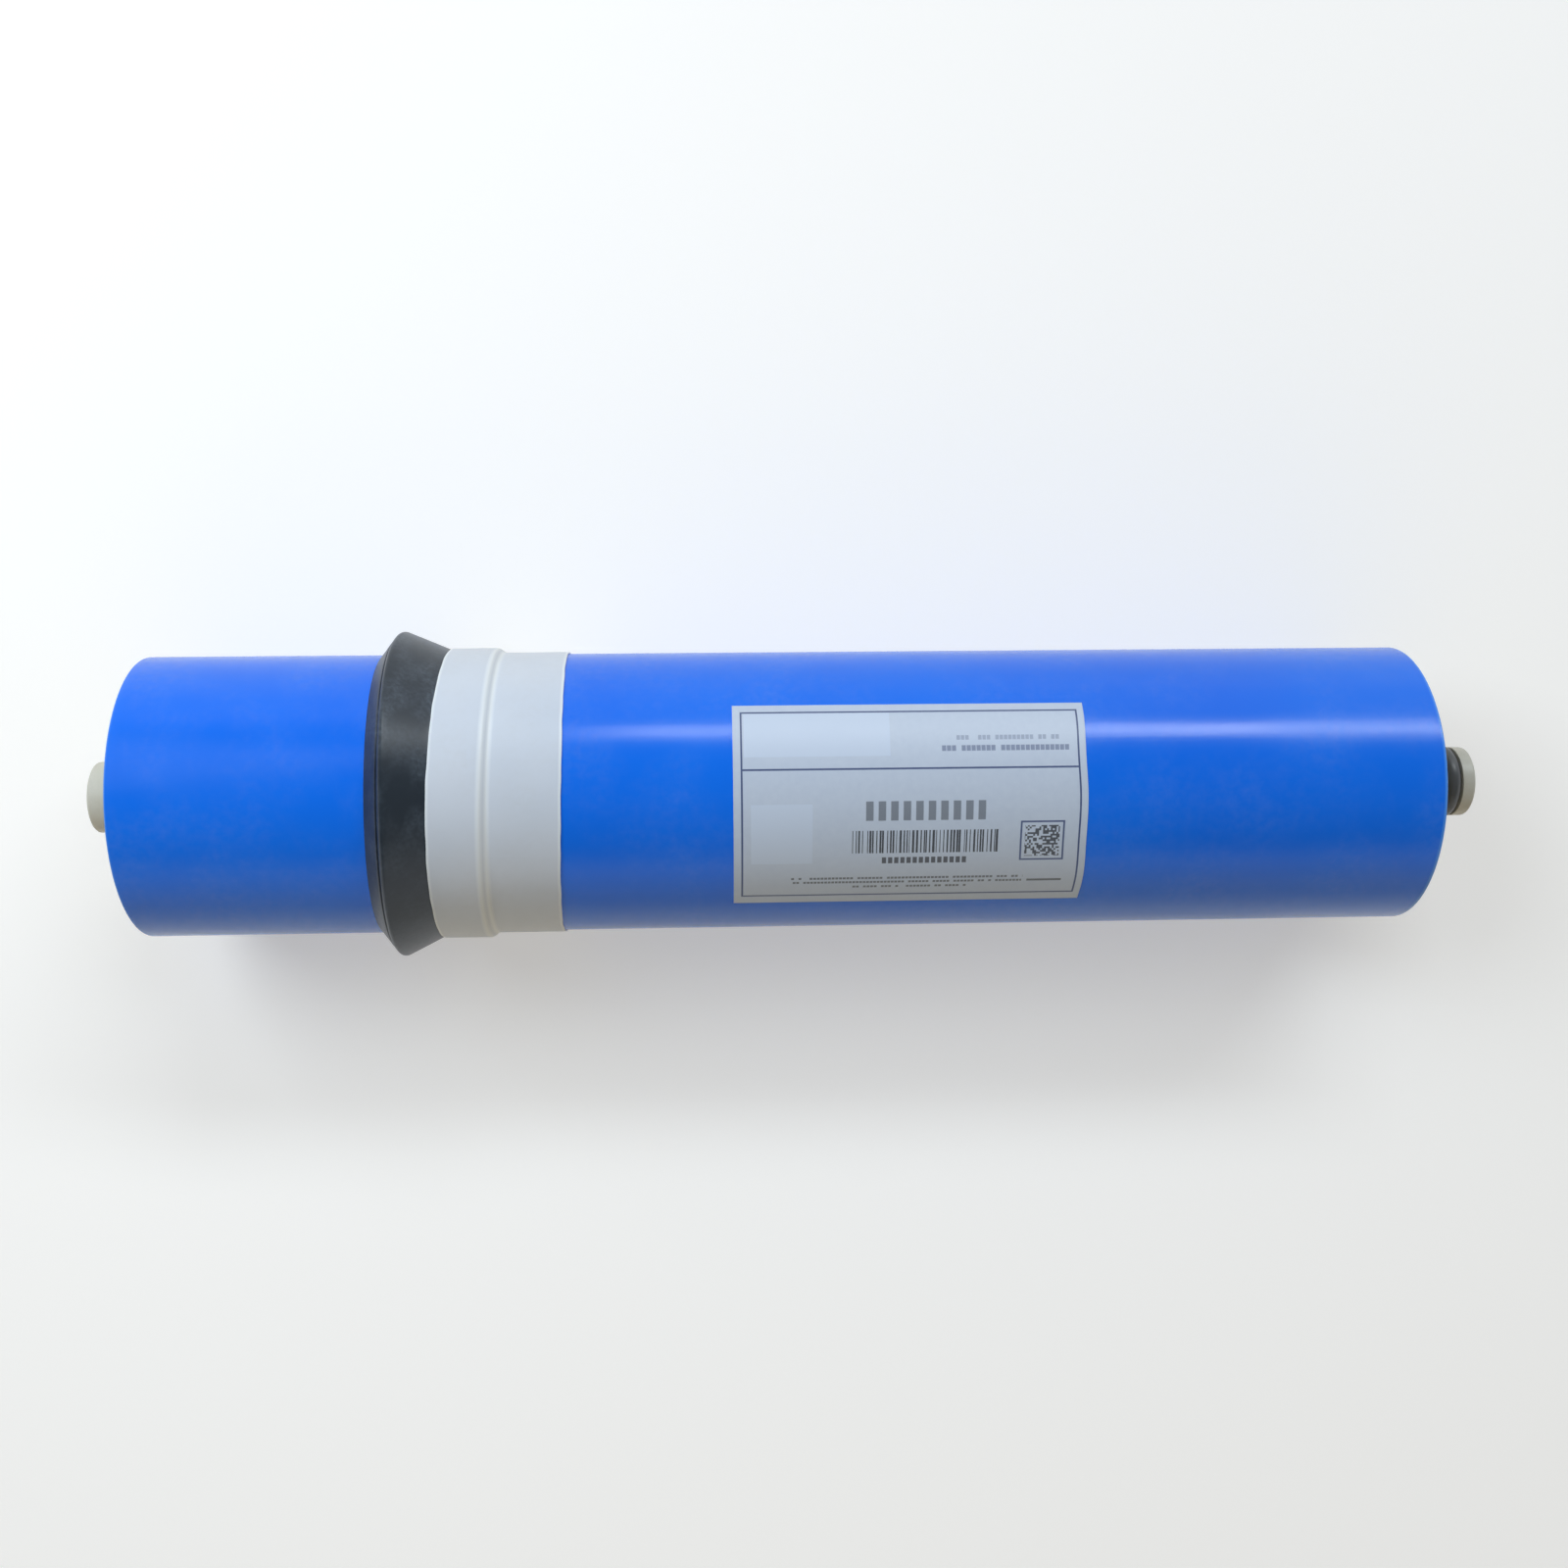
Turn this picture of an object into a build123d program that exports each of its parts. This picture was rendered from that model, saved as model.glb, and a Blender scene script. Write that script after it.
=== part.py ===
from build123d import *
import math
import os

# Spiral-wound reverse osmosis element, lying on its side with its tube along X.
# Sizes are millimetres. While the pieces are made, X runs along the tube from the
# feed end of the wound body, and every radius is taken from the tube's axis.

# Permeate tube
tube_diameter = 17.0
tube_wall = 4.5
closed_end_reach = 13.3
outlet_end_reach = 19.2
closed_end_wall = 6.0
tube_edge_chamfer = 0.6
drain_hole_diameter = 1.8
drain_hole_spacing = 40.0
drain_hole_margin = 30.0

# O-rings and their grooves at the outlet end
o_ring_section = 3.5
o_ring_stand = 0.4
o_ring_groove_width = 3.9
tip_land = 3.1
land_between_grooves = 2.0

# Sheets of the wound body
body_length = 300.5
leaf_count = 3
envelope_thickness = 0.62
spacer_thickness = 0.72
sheet_gap = 0.08
core_wall = 0.75
envelope_recess = 1.0
spacer_recess = 1.7

# Outer film
film_diameter = 66.8
film_wall = 0.7

# Brine seal
seal_start = 55.6
lip_front_length = 5.1
lip_back_length = 9.6
lip_rise = 5.75
lip_edge_radius = 0.45
foot_thickness = 1.0
foot_length = 11.6
lip_rim_depth = 1.0
cup_mouth = 0.6
cup_depth = 6.4
cup_floor_height = 1.6
cup_bottom_width = 0.35
lip_pressed_thickness = 1.3

# White band that holds the seal's foot
band_width = 29.6
band_thickness = 0.35
band_ramp = 1.5

# Label
label_length = 80.0
label_height = 50.0
label_start = 137.9
label_thickness = 0.14
label_turn = 8.4

# Clearance between pieces that are pushed or stretched over one another
seat_gap = 0.05

# Sizes that follow from those above
tube_radius = tube_diameter / 2
bore_radius = tube_radius - tube_wall
film_radius = film_diameter / 2
tube_start = -closed_end_reach
tube_end = body_length + outlet_end_reach
groove_floor_radius = tube_radius + o_ring_stand - o_ring_section - seat_gap

sectors_per_leaf = 2
sectors_per_turn = sectors_per_leaf * leaf_count
sector_step = 360 / sectors_per_turn
layer_pitch = envelope_thickness + spacer_thickness + 2 * sheet_gap
sector_growth = layer_pitch / sectors_per_leaf
first_sheet_radius = tube_radius + seat_gap + core_wall + sheet_gap + sector_growth
winding_room = film_radius - film_wall - layer_pitch - sector_growth - first_sheet_radius
sectors_wound = math.floor(winding_room / sector_growth) + sectors_per_leaf

seal_bore_radius = film_radius + seat_gap
rim_radius = seal_bore_radius + lip_rise
rim_place = seal_start + lip_front_length
foot_radius = seal_bore_radius + foot_thickness
cup_floor_radius = seal_bore_radius + cup_floor_height
rest_depth = cup_floor_radius + lip_pressed_thickness
band_start = rim_place + lip_back_length
band_end = band_start + band_width
foot_end = band_start + foot_length


def turned(points):
    """Solid turned about the tube's axis from a closed list of (along, radius) points."""
    return revolve(make_face(Polyline(*points, close=True)), Axis.X)


def drawn_along(face, start, end):
    """Solid drawn along the tube from a face seen from the outlet end."""
    return extrude(Plane.YZ.offset(start) * face, amount=end - start)


def sector_arc(sector, radius):
    """Arc of one sector of a sheet's spiral.

    The arcs' centres are the corners of a small regular polygon, so each arc meets
    the next without a kink and a full turn moves a sheet out by all the leaves.
    """
    corner_radius = sector_growth / (2 * math.sin(math.pi / sectors_per_turn))
    corner_angle = math.radians(sector_step * (sector + 0.5) + 90)
    centre = (corner_radius * math.cos(corner_angle), corner_radius * math.sin(corner_angle))
    return CenterArc(centre, radius, sector_step * (sector % sectors_per_turn), sector_step)


def sheet_face(leaf, inner_height, outer_height):
    """Edge view of one wound sheet, between two heights in its leaf's layer."""
    first_sector = leaf * sectors_per_leaf
    inner_arcs = []
    outer_arcs = []
    for turn_step in range(sectors_wound):
        radius = first_sheet_radius + sector_growth * turn_step
        inner_arcs.append(sector_arc(first_sector + turn_step, radius + inner_height))
        outer_arcs.append(sector_arc(first_sector + turn_step, radius + outer_height))
    core_edge = Line(outer_arcs[0] @ 0, inner_arcs[0] @ 0)
    tail_edge = Line(inner_arcs[-1] @ 1, outer_arcs[-1] @ 1)
    return make_face(inner_arcs + [tail_edge] + outer_arcs + [core_edge])


def stepped_face(first_sector, first_radius):
    """Face inside the outline that the wound sheets leave, with one step for each leaf."""
    arcs = []
    for sector in range(sectors_per_turn):
        radius = first_radius + sector_growth * (sector % sectors_per_leaf)
        arcs.append(sector_arc(first_sector + sector, radius))
    steps = []
    for leaf in range(leaf_count):
        last_arc = arcs[leaf * sectors_per_leaf - 1]
        next_arc = arcs[leaf * sectors_per_leaf]
        steps.append(Line(last_arc @ 1, next_arc @ 0))
    return make_face(arcs + steps)


def o_ring_place(number):
    """Middle of an O-ring groove along the tube, counted from the outlet tip."""
    groove_pitch = o_ring_groove_width + land_between_grooves
    return tube_end - tip_land - o_ring_groove_width / 2 - number * groove_pitch


def make_permeate_tube():
    """Core tube, shut at the feed end, with drain holes and two O-ring grooves."""
    tube = turned([
        (tube_start, 0),
        (tube_start, tube_radius - tube_edge_chamfer),
        (tube_start + tube_edge_chamfer, tube_radius),
        (tube_end - tube_edge_chamfer, tube_radius),
        (tube_end, tube_radius - tube_edge_chamfer),
        (tube_end, bore_radius),
        (tube_start + closed_end_wall, bore_radius),
        (tube_start + closed_end_wall, 0),
    ])
    for number in range(2):
        place = o_ring_place(number)
        half_width = o_ring_groove_width / 2
        tube -= turned([
            (place - half_width, groove_floor_radius),
            (place - half_width, tube_diameter),
            (place + half_width, tube_diameter),
            (place + half_width, groove_floor_radius),
        ])
    drilled_length = body_length - 2 * drain_hole_margin
    hole_count = math.floor(drilled_length / drain_hole_spacing) + 1
    for number in range(hole_count):
        drill = Cylinder(drain_hole_diameter / 2, 2 * tube_diameter)
        quarter_turn = 90 * (number % 2)
        along = drain_hole_margin + number * drain_hole_spacing
        tube -= Pos(along, 0, 0) * Rot(quarter_turn, 0, 0) * drill
    return tube


def make_o_ring(number):
    """Round rubber ring seated on its groove's floor."""
    ring_radius = groove_floor_radius + seat_gap + o_ring_section / 2
    return revolve(Pos(o_ring_place(number), ring_radius) * Circle(o_ring_section / 2), Axis.X)


def make_core_carrier():
    """First wraps of carrier cloth on the tube, stepped where each leaf starts."""
    face = stepped_face(0, first_sheet_radius - sheet_gap) - Circle(tube_radius + seat_gap)
    return drawn_along(face, envelope_recess, body_length - envelope_recess)


def make_membrane_envelope(leaf):
    """Two membrane sheets glued on three sides over their carrier cloth, wound as one."""
    face = sheet_face(leaf, 0, envelope_thickness)
    return drawn_along(face, envelope_recess, body_length - envelope_recess)


def make_feed_spacer(leaf):
    """Net that keeps one envelope off the next, set a little back from their edges."""
    inner_height = envelope_thickness + sheet_gap
    face = sheet_face(leaf, inner_height, inner_height + spacer_thickness)
    return drawn_along(face, spacer_recess, body_length - spacer_recess)


def make_outer_film():
    """Blue film wound round the sheets, round outside and fitted to their steps inside."""
    last_turn = sectors_wound - sectors_per_leaf
    inner_radius = first_sheet_radius + sector_growth * last_turn + layer_pitch
    face = Circle(film_radius) - stepped_face(last_turn, inner_radius)
    return drawn_along(face, 0, body_length)


def above(height):
    """Block that holds everything of the seal above a height."""
    size = 4 * rim_radius
    return Pos(seal_start, 0, height + size / 2) * Box(size, size, size)


def make_brine_seal():
    """Rubber cup seal: collar, flared lip open to the feed end, and a thin foot.

    The lip is pressed flat where the element lies on it.
    """
    mouth_radius = rim_radius - lip_rim_depth
    flank_slope = lip_front_length / lip_rise
    mouth_place = rim_place - lip_rim_depth * flank_slope
    collar_place = mouth_place - cup_mouth * flank_slope
    profile = make_face(Polyline(
        (seal_start, seal_bore_radius),
        (rim_place, rim_radius),
        (band_start - seat_gap, foot_radius),
        (foot_end, foot_radius),
        (foot_end, seal_bore_radius),
        close=True,
    ))
    rim_corner = profile.vertices().sort_by(Axis.Y)[-1]
    seal = revolve(fillet(rim_corner, lip_edge_radius), Axis.X)
    cup = turned([
        (collar_place, mouth_radius - cup_mouth),
        (collar_place - cup_mouth, mouth_radius - cup_mouth),
        (collar_place - cup_mouth, mouth_radius),
        (mouth_place, mouth_radius),
        (mouth_place + cup_depth, cup_floor_radius + cup_bottom_width),
        (mouth_place + cup_depth, cup_floor_radius),
    ])
    seal &= above(-rest_depth)
    cup &= above(-cup_floor_radius + seat_gap)
    return seal - cup


def make_seal_band():
    """White tape wound over the seal's foot, with a ramp down to the blue film."""
    high_radius = foot_radius + seat_gap
    low_radius = film_radius + seat_gap
    ramp_start = foot_end + seat_gap
    return turned([
        (band_start, high_radius),
        (band_start, high_radius + band_thickness),
        (ramp_start, high_radius + band_thickness),
        (ramp_start + band_ramp, low_radius + band_thickness),
        (band_end, low_radius + band_thickness),
        (band_end, low_radius),
        (ramp_start + band_ramp, low_radius),
        (ramp_start, high_radius),
    ])


def make_label():
    """Plain rectangular sticker bent round the film."""
    inner_radius = film_radius + seat_gap
    spread = math.degrees(label_height / inner_radius)
    start_angle = 90 + label_turn - spread / 2
    inner_arc = CenterArc((0, 0), inner_radius, start_angle, spread)
    outer_arc = CenterArc((0, 0), inner_radius + label_thickness, start_angle, spread)
    low_edge = Line(inner_arc @ 1, outer_arc @ 1)
    high_edge = Line(outer_arc @ 0, inner_arc @ 0)
    face = make_face([inner_arc, low_edge, outer_arc, high_edge])
    return drawn_along(face, label_start, label_start + label_length)


def save(shape, name):
    """Write a piece with the origin on the ground under the middle of the element."""
    middle = (tube_start + tube_end) / 2
    export_step(Pos(-middle, 0, rest_depth) * shape, "parts/" + name + ".step")


os.makedirs("parts", exist_ok=True)
save(make_permeate_tube(), "permeate_tube")
save(make_o_ring(0), "o_ring_outer")
save(make_o_ring(1), "o_ring_inner")
save(make_core_carrier(), "core_carrier")
for leaf_number in range(leaf_count):
    save(make_membrane_envelope(leaf_number), "membrane_envelope_" + str(leaf_number + 1))
    save(make_feed_spacer(leaf_number), "feed_spacer_" + str(leaf_number + 1))
save(make_outer_film(), "outer_film")
save(make_brine_seal(), "brine_seal")
save(make_seal_band(), "seal_band")
save(make_label(), "label")
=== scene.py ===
"""Looks of a spiral-wound reverse osmosis element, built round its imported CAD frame.

Lengths in the classes are millimetres, counted along the tube from the feed end of the
wound body and outwards from the tube's axis, as in the CAD source. Angles go from the side
towards the top. Meshes are put into Blender in metres, in the row frame.
"""

from __future__ import annotations

import logging
import math
from dataclasses import dataclass
from enum import Enum
from functools import cached_property

import bmesh
import bpy
import numpy as np
from mathutils import Euler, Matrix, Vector

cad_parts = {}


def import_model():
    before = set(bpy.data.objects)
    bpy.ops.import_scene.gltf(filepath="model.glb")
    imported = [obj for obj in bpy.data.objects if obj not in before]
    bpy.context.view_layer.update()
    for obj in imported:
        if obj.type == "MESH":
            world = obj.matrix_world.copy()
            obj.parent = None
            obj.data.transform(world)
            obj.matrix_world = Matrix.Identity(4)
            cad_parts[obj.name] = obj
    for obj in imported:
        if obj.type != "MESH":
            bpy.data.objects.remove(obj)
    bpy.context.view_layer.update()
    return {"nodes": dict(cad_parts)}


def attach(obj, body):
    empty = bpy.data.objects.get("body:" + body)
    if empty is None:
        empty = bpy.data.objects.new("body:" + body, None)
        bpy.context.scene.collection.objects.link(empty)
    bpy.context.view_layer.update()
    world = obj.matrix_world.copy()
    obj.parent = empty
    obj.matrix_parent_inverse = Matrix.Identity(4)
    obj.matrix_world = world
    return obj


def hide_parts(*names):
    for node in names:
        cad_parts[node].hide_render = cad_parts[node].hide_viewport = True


Array = np.ndarray
Piece = bpy.types.Object
Material = bpy.types.Material
NodeTree = bpy.types.NodeTree
Tone = tuple[float, float, float]
Box = tuple[float, float, float, float]

LOG = logging.getLogger("element")
MM = 0.001
BODY = "root"
MAP_NAME = "print"
MERGE_DISTANCE = 2e-7
SAME_POINT = 1e-6
WHITE = (1.0, 1.0, 1.0)

# Places shared by several pieces
AXIS_HEIGHT = 36.35
ELEMENT_MIDDLE = 153.2
BODY_LENGTH = 300.5
FILM_RADIUS = 33.4
TUBE_RADIUS = 8.5
SEAT_GAP = 0.05
LABEL_LENGTH = 80.0
LABEL_HEIGHT = 50.0
MAP_LENGTH = 400.0


class End(Enum):
    """The two ends of the wound body."""

    FEED = "feed"
    OUTLET = "outlet"


# Mesh tools


def row_frame(along: Array, across: Array, up: Array) -> Array:
    """Points in the row frame, in metres.

    Args:
        along: distances from the feed end of the wound body.
        across: distances from the axis to the side.
        up: distances above the axis.

    Returns:
        The points, with one more axis of length three.
    """
    along, across, up = np.broadcast_arrays(along, across, up)
    return np.stack([along - ELEMENT_MIDDLE, across, up + AXIS_HEIGHT], axis=-1) * MM


def round_axis(along: Array, radius: Array, angles: Array) -> Array:
    """Points in the row frame, at radii and angles round the axis."""
    return row_frame(along, radius * np.cos(angles), radius * np.sin(angles))


def full_turn(steps: int) -> Array:
    """Equal angles once round, in radians, without the last one that closes the circle."""
    return np.linspace(0, 2 * math.pi, steps, endpoint=False)


def wavy(angles: Array, *terms: tuple[float, float, float]) -> Array:
    """Wave from 0 to 1 round the axis: a weighted sum of sines.

    Args:
        angles: angles round the axis.
        terms: number of lobes, phase and weight of each sine.

    Returns:
        The wave at each angle.
    """
    total = sum(weight * np.sin(lobes * angles + phase) for lobes, phase, weight in terms)
    return (1 + total / sum(weight for _, _, weight in terms)) / 2


def rounded(outline: list[tuple[float, float, float]], steps: int) -> Array:
    """Closed outline with rounded corners.

    Each corner becomes a quadratic curve between two points at its radius from the corner,
    along the two edges that meet there, so it never overshoots.

    Args:
        outline: corners as (along, radius, rounding).
        steps: spans of each rounded corner.

    Returns:
        Rows of (along, radius).
    """
    corners = np.array(outline, float)
    place, reach = corners[:, :2], corners[:, 2:]
    ends = []
    for way in (1, -1):
        edge = np.roll(place, way, axis=0) - place
        ends.append(place + edge / np.linalg.norm(edge, axis=1, keepdims=True) * reach)
    start, middle, stop = (part[:, None] for part in (ends[0], place, ends[1]))
    t = np.linspace(0, 1, steps + 1)[:, None]
    curve = (1 - t) ** 2 * start + 2 * t * (1 - t) * middle + t**2 * stop
    points = curve.reshape(-1, 2)
    fresh = np.linalg.norm(points - np.roll(points, 1, axis=0), axis=1) > SAME_POINT
    return points[fresh]


def divided(outline: Array, longest: float) -> Array:
    """Closed outline with its long edges cut into equal spans.

    Args:
        outline: rows of (along, radius).
        longest: greatest length of a span.

    Returns:
        Rows of (along, radius).
    """
    spans = []
    for start, stop in zip(outline, np.roll(outline, -1, axis=0)):
        count = max(1, math.ceil(np.linalg.norm(stop - start) / longest))
        spans.append(start + (stop - start) * np.arange(count)[:, None] / count)
    return np.concatenate(spans)


def grid_faces(rows: int, columns: int, close_rows: bool, close_columns: bool) -> Array:
    """Quads of a grid of points.

    Args:
        rows: number of rows of points.
        columns: number of points in a row.
        close_rows: whether the last row joins the first.
        close_columns: whether a row's last point joins its first.

    Returns:
        Rows of four point numbers.
    """
    numbers = np.arange(rows * columns).reshape(rows, columns)
    if close_rows:
        numbers = np.concatenate([numbers, numbers[:1]])
    if close_columns:
        numbers = np.concatenate([numbers, numbers[:, :1]], axis=1)
    corners = [numbers[:-1, :-1], numbers[:-1, 1:], numbers[1:, 1:], numbers[1:, :-1]]
    return np.stack(corners, axis=-1).reshape(-1, 4)


def shell_faces(
    grid: Array, close_rows: bool = True, close_columns: bool = True
) -> list[list[int]]:
    """Faces of a closed shell that is given as a grid of points.

    The quads are turned so that they enclose a positive volume, which is the sum, over the
    triangles, of a corner times the cross product of the other two. Where the rows of
    points stay open, one flat face joins all their first points, and one all their last.

    Args:
        grid: the points, in rows and columns.
        close_rows: whether the last row joins the first.
        close_columns: whether a row's last point joins its first.

    Returns:
        The point numbers of each face.
    """
    rows, columns = grid.shape[:2]
    quads = grid_faces(rows, columns, close_rows, close_columns)
    a, b, c, d = (grid.reshape(-1, 3)[quads[:, n]] for n in range(4))
    if (a * (np.cross(b, c) + np.cross(c, d))).sum() <= 0:
        quads = quads[:, ::-1]
    if close_columns:
        return quads.tolist()
    numbers = np.arange(rows * columns).reshape(rows, columns)
    return quads.tolist() + [numbers[:, 0].tolist(), numbers[::-1, -1].tolist()]


def add_object(name: str, data: bpy.types.ID) -> Piece:
    """Puts a new object into the scene.

    Args:
        name: its name.
        data: its mesh, lamp or camera.

    Returns:
        The new object, at the origin.
    """
    made = bpy.data.objects.new(name, data)
    bpy.context.scene.collection.objects.link(made)
    return made


def add_mesh(
    name: str,
    points: Array,
    faces: list[list[int]],
    sharp_angle: float = 38.0,
    recalculate: bool = False,
    uv: Array | None = None,
) -> Piece:
    """Puts a mesh into the scene, smooth but for its sharp edges.

    Args:
        name: name of the piece.
        points: its points in the row frame, in metres.
        faces: the point numbers of each face.
        sharp_angle: angle in degrees from which an edge stays sharp.
        recalculate: whether some faces still have to be turned outwards.
        uv: a pair of pattern coordinates for each point.

    Returns:
        The new object, at the origin.
    """
    mesh = bpy.data.meshes.new(name)
    mesh.from_pydata(points.reshape(-1, 3).tolist(), [], faces)
    if uv is not None:
        layer = mesh.uv_layers.new(name=MAP_NAME)
        corner_points = np.zeros(len(mesh.loops), dtype=np.int32)
        mesh.loops.foreach_get("vertex_index", corner_points)
        corner_uv = uv.reshape(-1, 2)[corner_points]
        layer.data.foreach_set("uv", corner_uv.astype(np.float32).ravel())
    work = bmesh.new()
    work.from_mesh(mesh)
    bmesh.ops.remove_doubles(work, verts=work.verts, dist=MERGE_DISTANCE)
    if recalculate:
        bmesh.ops.recalc_face_normals(work, faces=work.faces)
    work.to_mesh(mesh)
    work.free()
    mesh.shade_smooth()
    mesh.set_sharp_from_angle(angle=math.radians(sharp_angle))
    return add_object(name, mesh)


def add_turned(name: str, profile: Array, steps: int, close_profile: bool = True) -> Piece:
    """Adds a profile that is turned once round the axis.

    Args:
        name: name of the piece.
        profile: rows of (along, radius).
        steps: points of each circle.
        close_profile: whether the profile is a ring, or else ends on the axis.

    Returns:
        The new object.
    """
    grid = round_axis(profile[:, :1], profile[:, 1:], full_turn(steps))
    return add_mesh(name, grid, shell_faces(grid, close_rows=close_profile))


def cover(piece: Piece, material: Material) -> None:
    """Gives a piece one material."""
    piece.data.materials.clear()
    piece.data.materials.append(material)


def place_piece(piece: Piece, material: Material, node: str) -> None:
    """Gives a piece its finish, lets it ride on the body and stand for its CAD node.

    Args:
        piece: the piece.
        material: its finish.
        node: name of the CAD node that it replaces.
    """
    cover(piece, material)
    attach(piece, BODY)
    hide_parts(node)
    LOG.info("%s: %d faces, stands for %s", piece.name, len(piece.data.polygons), node)


# Node tools


@dataclass(frozen=True)
class Value:
    """A number, a place or a colour in a node tree, with which sums are written plainly."""

    tree: Tree
    socket: bpy.types.NodeSocket

    def __add__(self, other: Value | float) -> Value:
        """The two together."""
        return self.tree.math("ADD", self, other)

    def __sub__(self, other: Value | float) -> Value:
        """This one less the other."""
        return self.tree.math("SUBTRACT", self, other)

    def __mul__(self, other: Value | float) -> Value:
        """This one times the other, which also crops one mask by another."""
        return self.tree.math("MULTIPLY", self, other)

    def __truediv__(self, other: Value | float) -> Value:
        """This one divided by the other."""
        return self.tree.math("DIVIDE", self, other)

    def __gt__(self, other: Value | float) -> Value:
        """1 where this one is greater, and 0 elsewhere."""
        return self.tree.math("GREATER_THAN", self, other)

    def __lt__(self, other: Value | float) -> Value:
        """1 where this one is less, and 0 elsewhere."""
        return self.tree.math("LESS_THAN", self, other)

    def __or__(self, other: Value | float) -> Value:
        """The greater of the two, which joins two masks."""
        return self.tree.math("MAXIMUM", self, other)

    def __abs__(self) -> Value:
        """Its distance from 0."""
        return self.tree.math("ABSOLUTE", self)


class Tree:
    """A node tree that is filled step by step."""

    def __init__(self, tree: NodeTree) -> None:
        """Starts with an empty tree."""
        self.tree = tree
        tree.nodes.clear()

    def feed(self, socket: bpy.types.NodeSocket, value: object) -> None:
        """Fills an input.

        Args:
            socket: the input.
            value: a value that is linked to it, or a constant that is written into it.
        """
        if isinstance(value, Value):
            self.tree.links.new(value.socket, socket)
        else:
            socket.default_value = value

    def add(self, kind: str, inputs: dict | None = None, **settings: object) -> bpy.types.Node:
        """Adds a node.

        Args:
            kind: the node's type without its leading words.
            inputs: what its inputs are given, by name or number.
            settings: the node's own properties.

        Returns:
            The new node.
        """
        node = self.tree.nodes.new("ShaderNode" + kind)
        for name, value in settings.items():
            setattr(node, name, value)
        for name, value in (inputs or {}).items():
            self.feed(node.inputs[name], value)
        return node

    def value(
        self, kind: str, inputs: dict | None = None, output: int | str = 0, **settings: object
    ) -> Value:
        """Adds a node and gives one of its results."""
        return Value(self, self.add(kind, inputs, **settings).outputs[output])

    def values(self, kind: str, inputs: dict | None = None, **settings: object) -> list[Value]:
        """Adds a node and gives all its results."""
        return [Value(self, socket) for socket in self.add(kind, inputs, **settings).outputs]

    def math(self, operation: str, *values: Value | float, clamp: bool = False) -> Value:
        """Result of one sum on one to three values."""
        numbered = dict(enumerate(values))
        return self.value("Math", numbered, operation=operation, use_clamp=clamp)

    def colour(self, share: Value, low: Value | Tone, high: Value | Tone) -> Value:
        """Colour that goes from low to high as the share goes from 0 to 1."""
        low, high = (end if isinstance(end, Value) else (*end, 1.0) for end in (low, high))
        return self.value("Mix", {0: share, 6: low, 7: high}, 2, data_type="RGBA")

    def ramp(self, value: Value, start: float, stop: float, low: float, high: float) -> Value:
        """Value carried from one range to another, and held at the second one's limits."""
        return self.value("MapRange", dict(enumerate((value, start, stop, low, high))))

    def parts(self, place: Value) -> list[Value]:
        """The three parts of a place."""
        return self.values("SeparateXYZ", {0: place})

    def noise(self, place: Value, scale: Value | float, detail: float) -> Value:
        """Smooth noise from 0 to 1."""
        return self.value("TexNoise", {"Vector": place, "Scale": scale, "Detail": detail})

    def chance(self, column: Value, row: Value | float) -> Value:
        """Random number from 0 to 1 for each whole column and row."""
        spot = self.value("CombineXYZ", {0: column, 1: row})
        return self.value("TexWhiteNoise", {"Vector": spot}, noise_dimensions="2D")

    def wave(self, turns: Value) -> Value:
        """Sine wave between 0 and 1, once for each whole turn."""
        return self.math("MULTIPLY_ADD", self.math("SINE", turns * (2 * math.pi)), 0.5, 0.5)

    def group(self, shared: NodeTree, **inputs: Value | float) -> list[Value]:
        """Results of a shared effect, whose inputs are given by name."""
        return self.values("Group", inputs, node_tree=shared)


class Group(Tree):
    """A shared effect in the making: a node group with named inputs and outputs."""

    def __init__(self, name: str, *inputs: str) -> None:
        """Makes the group.

        Args:
            name: its name.
            inputs: names of its inputs. Vector is a place, and the others are numbers.
        """
        super().__init__(bpy.data.node_groups.new(name, "ShaderNodeTree"))
        for word in inputs:
            kind = "NodeSocketVector" if word == "Vector" else "NodeSocketFloat"
            self.tree.interface.new_socket(word, in_out="INPUT", socket_type=kind)
        given = self.tree.nodes.new("NodeGroupInput").outputs
        self.given = [Value(self, given[word]) for word in inputs]

    def finish(self, **results: Value) -> NodeTree:
        """Ends the group.

        Args:
            results: its outputs, by name.

        Returns:
            The group.
        """
        for word in results:
            self.tree.interface.new_socket(word, in_out="OUTPUT", socket_type="NodeSocketFloat")
        output = self.tree.nodes.new("NodeGroupOutput")
        for word, value in results.items():
            self.feed(output.inputs[word], value)
        return self.tree


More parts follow.
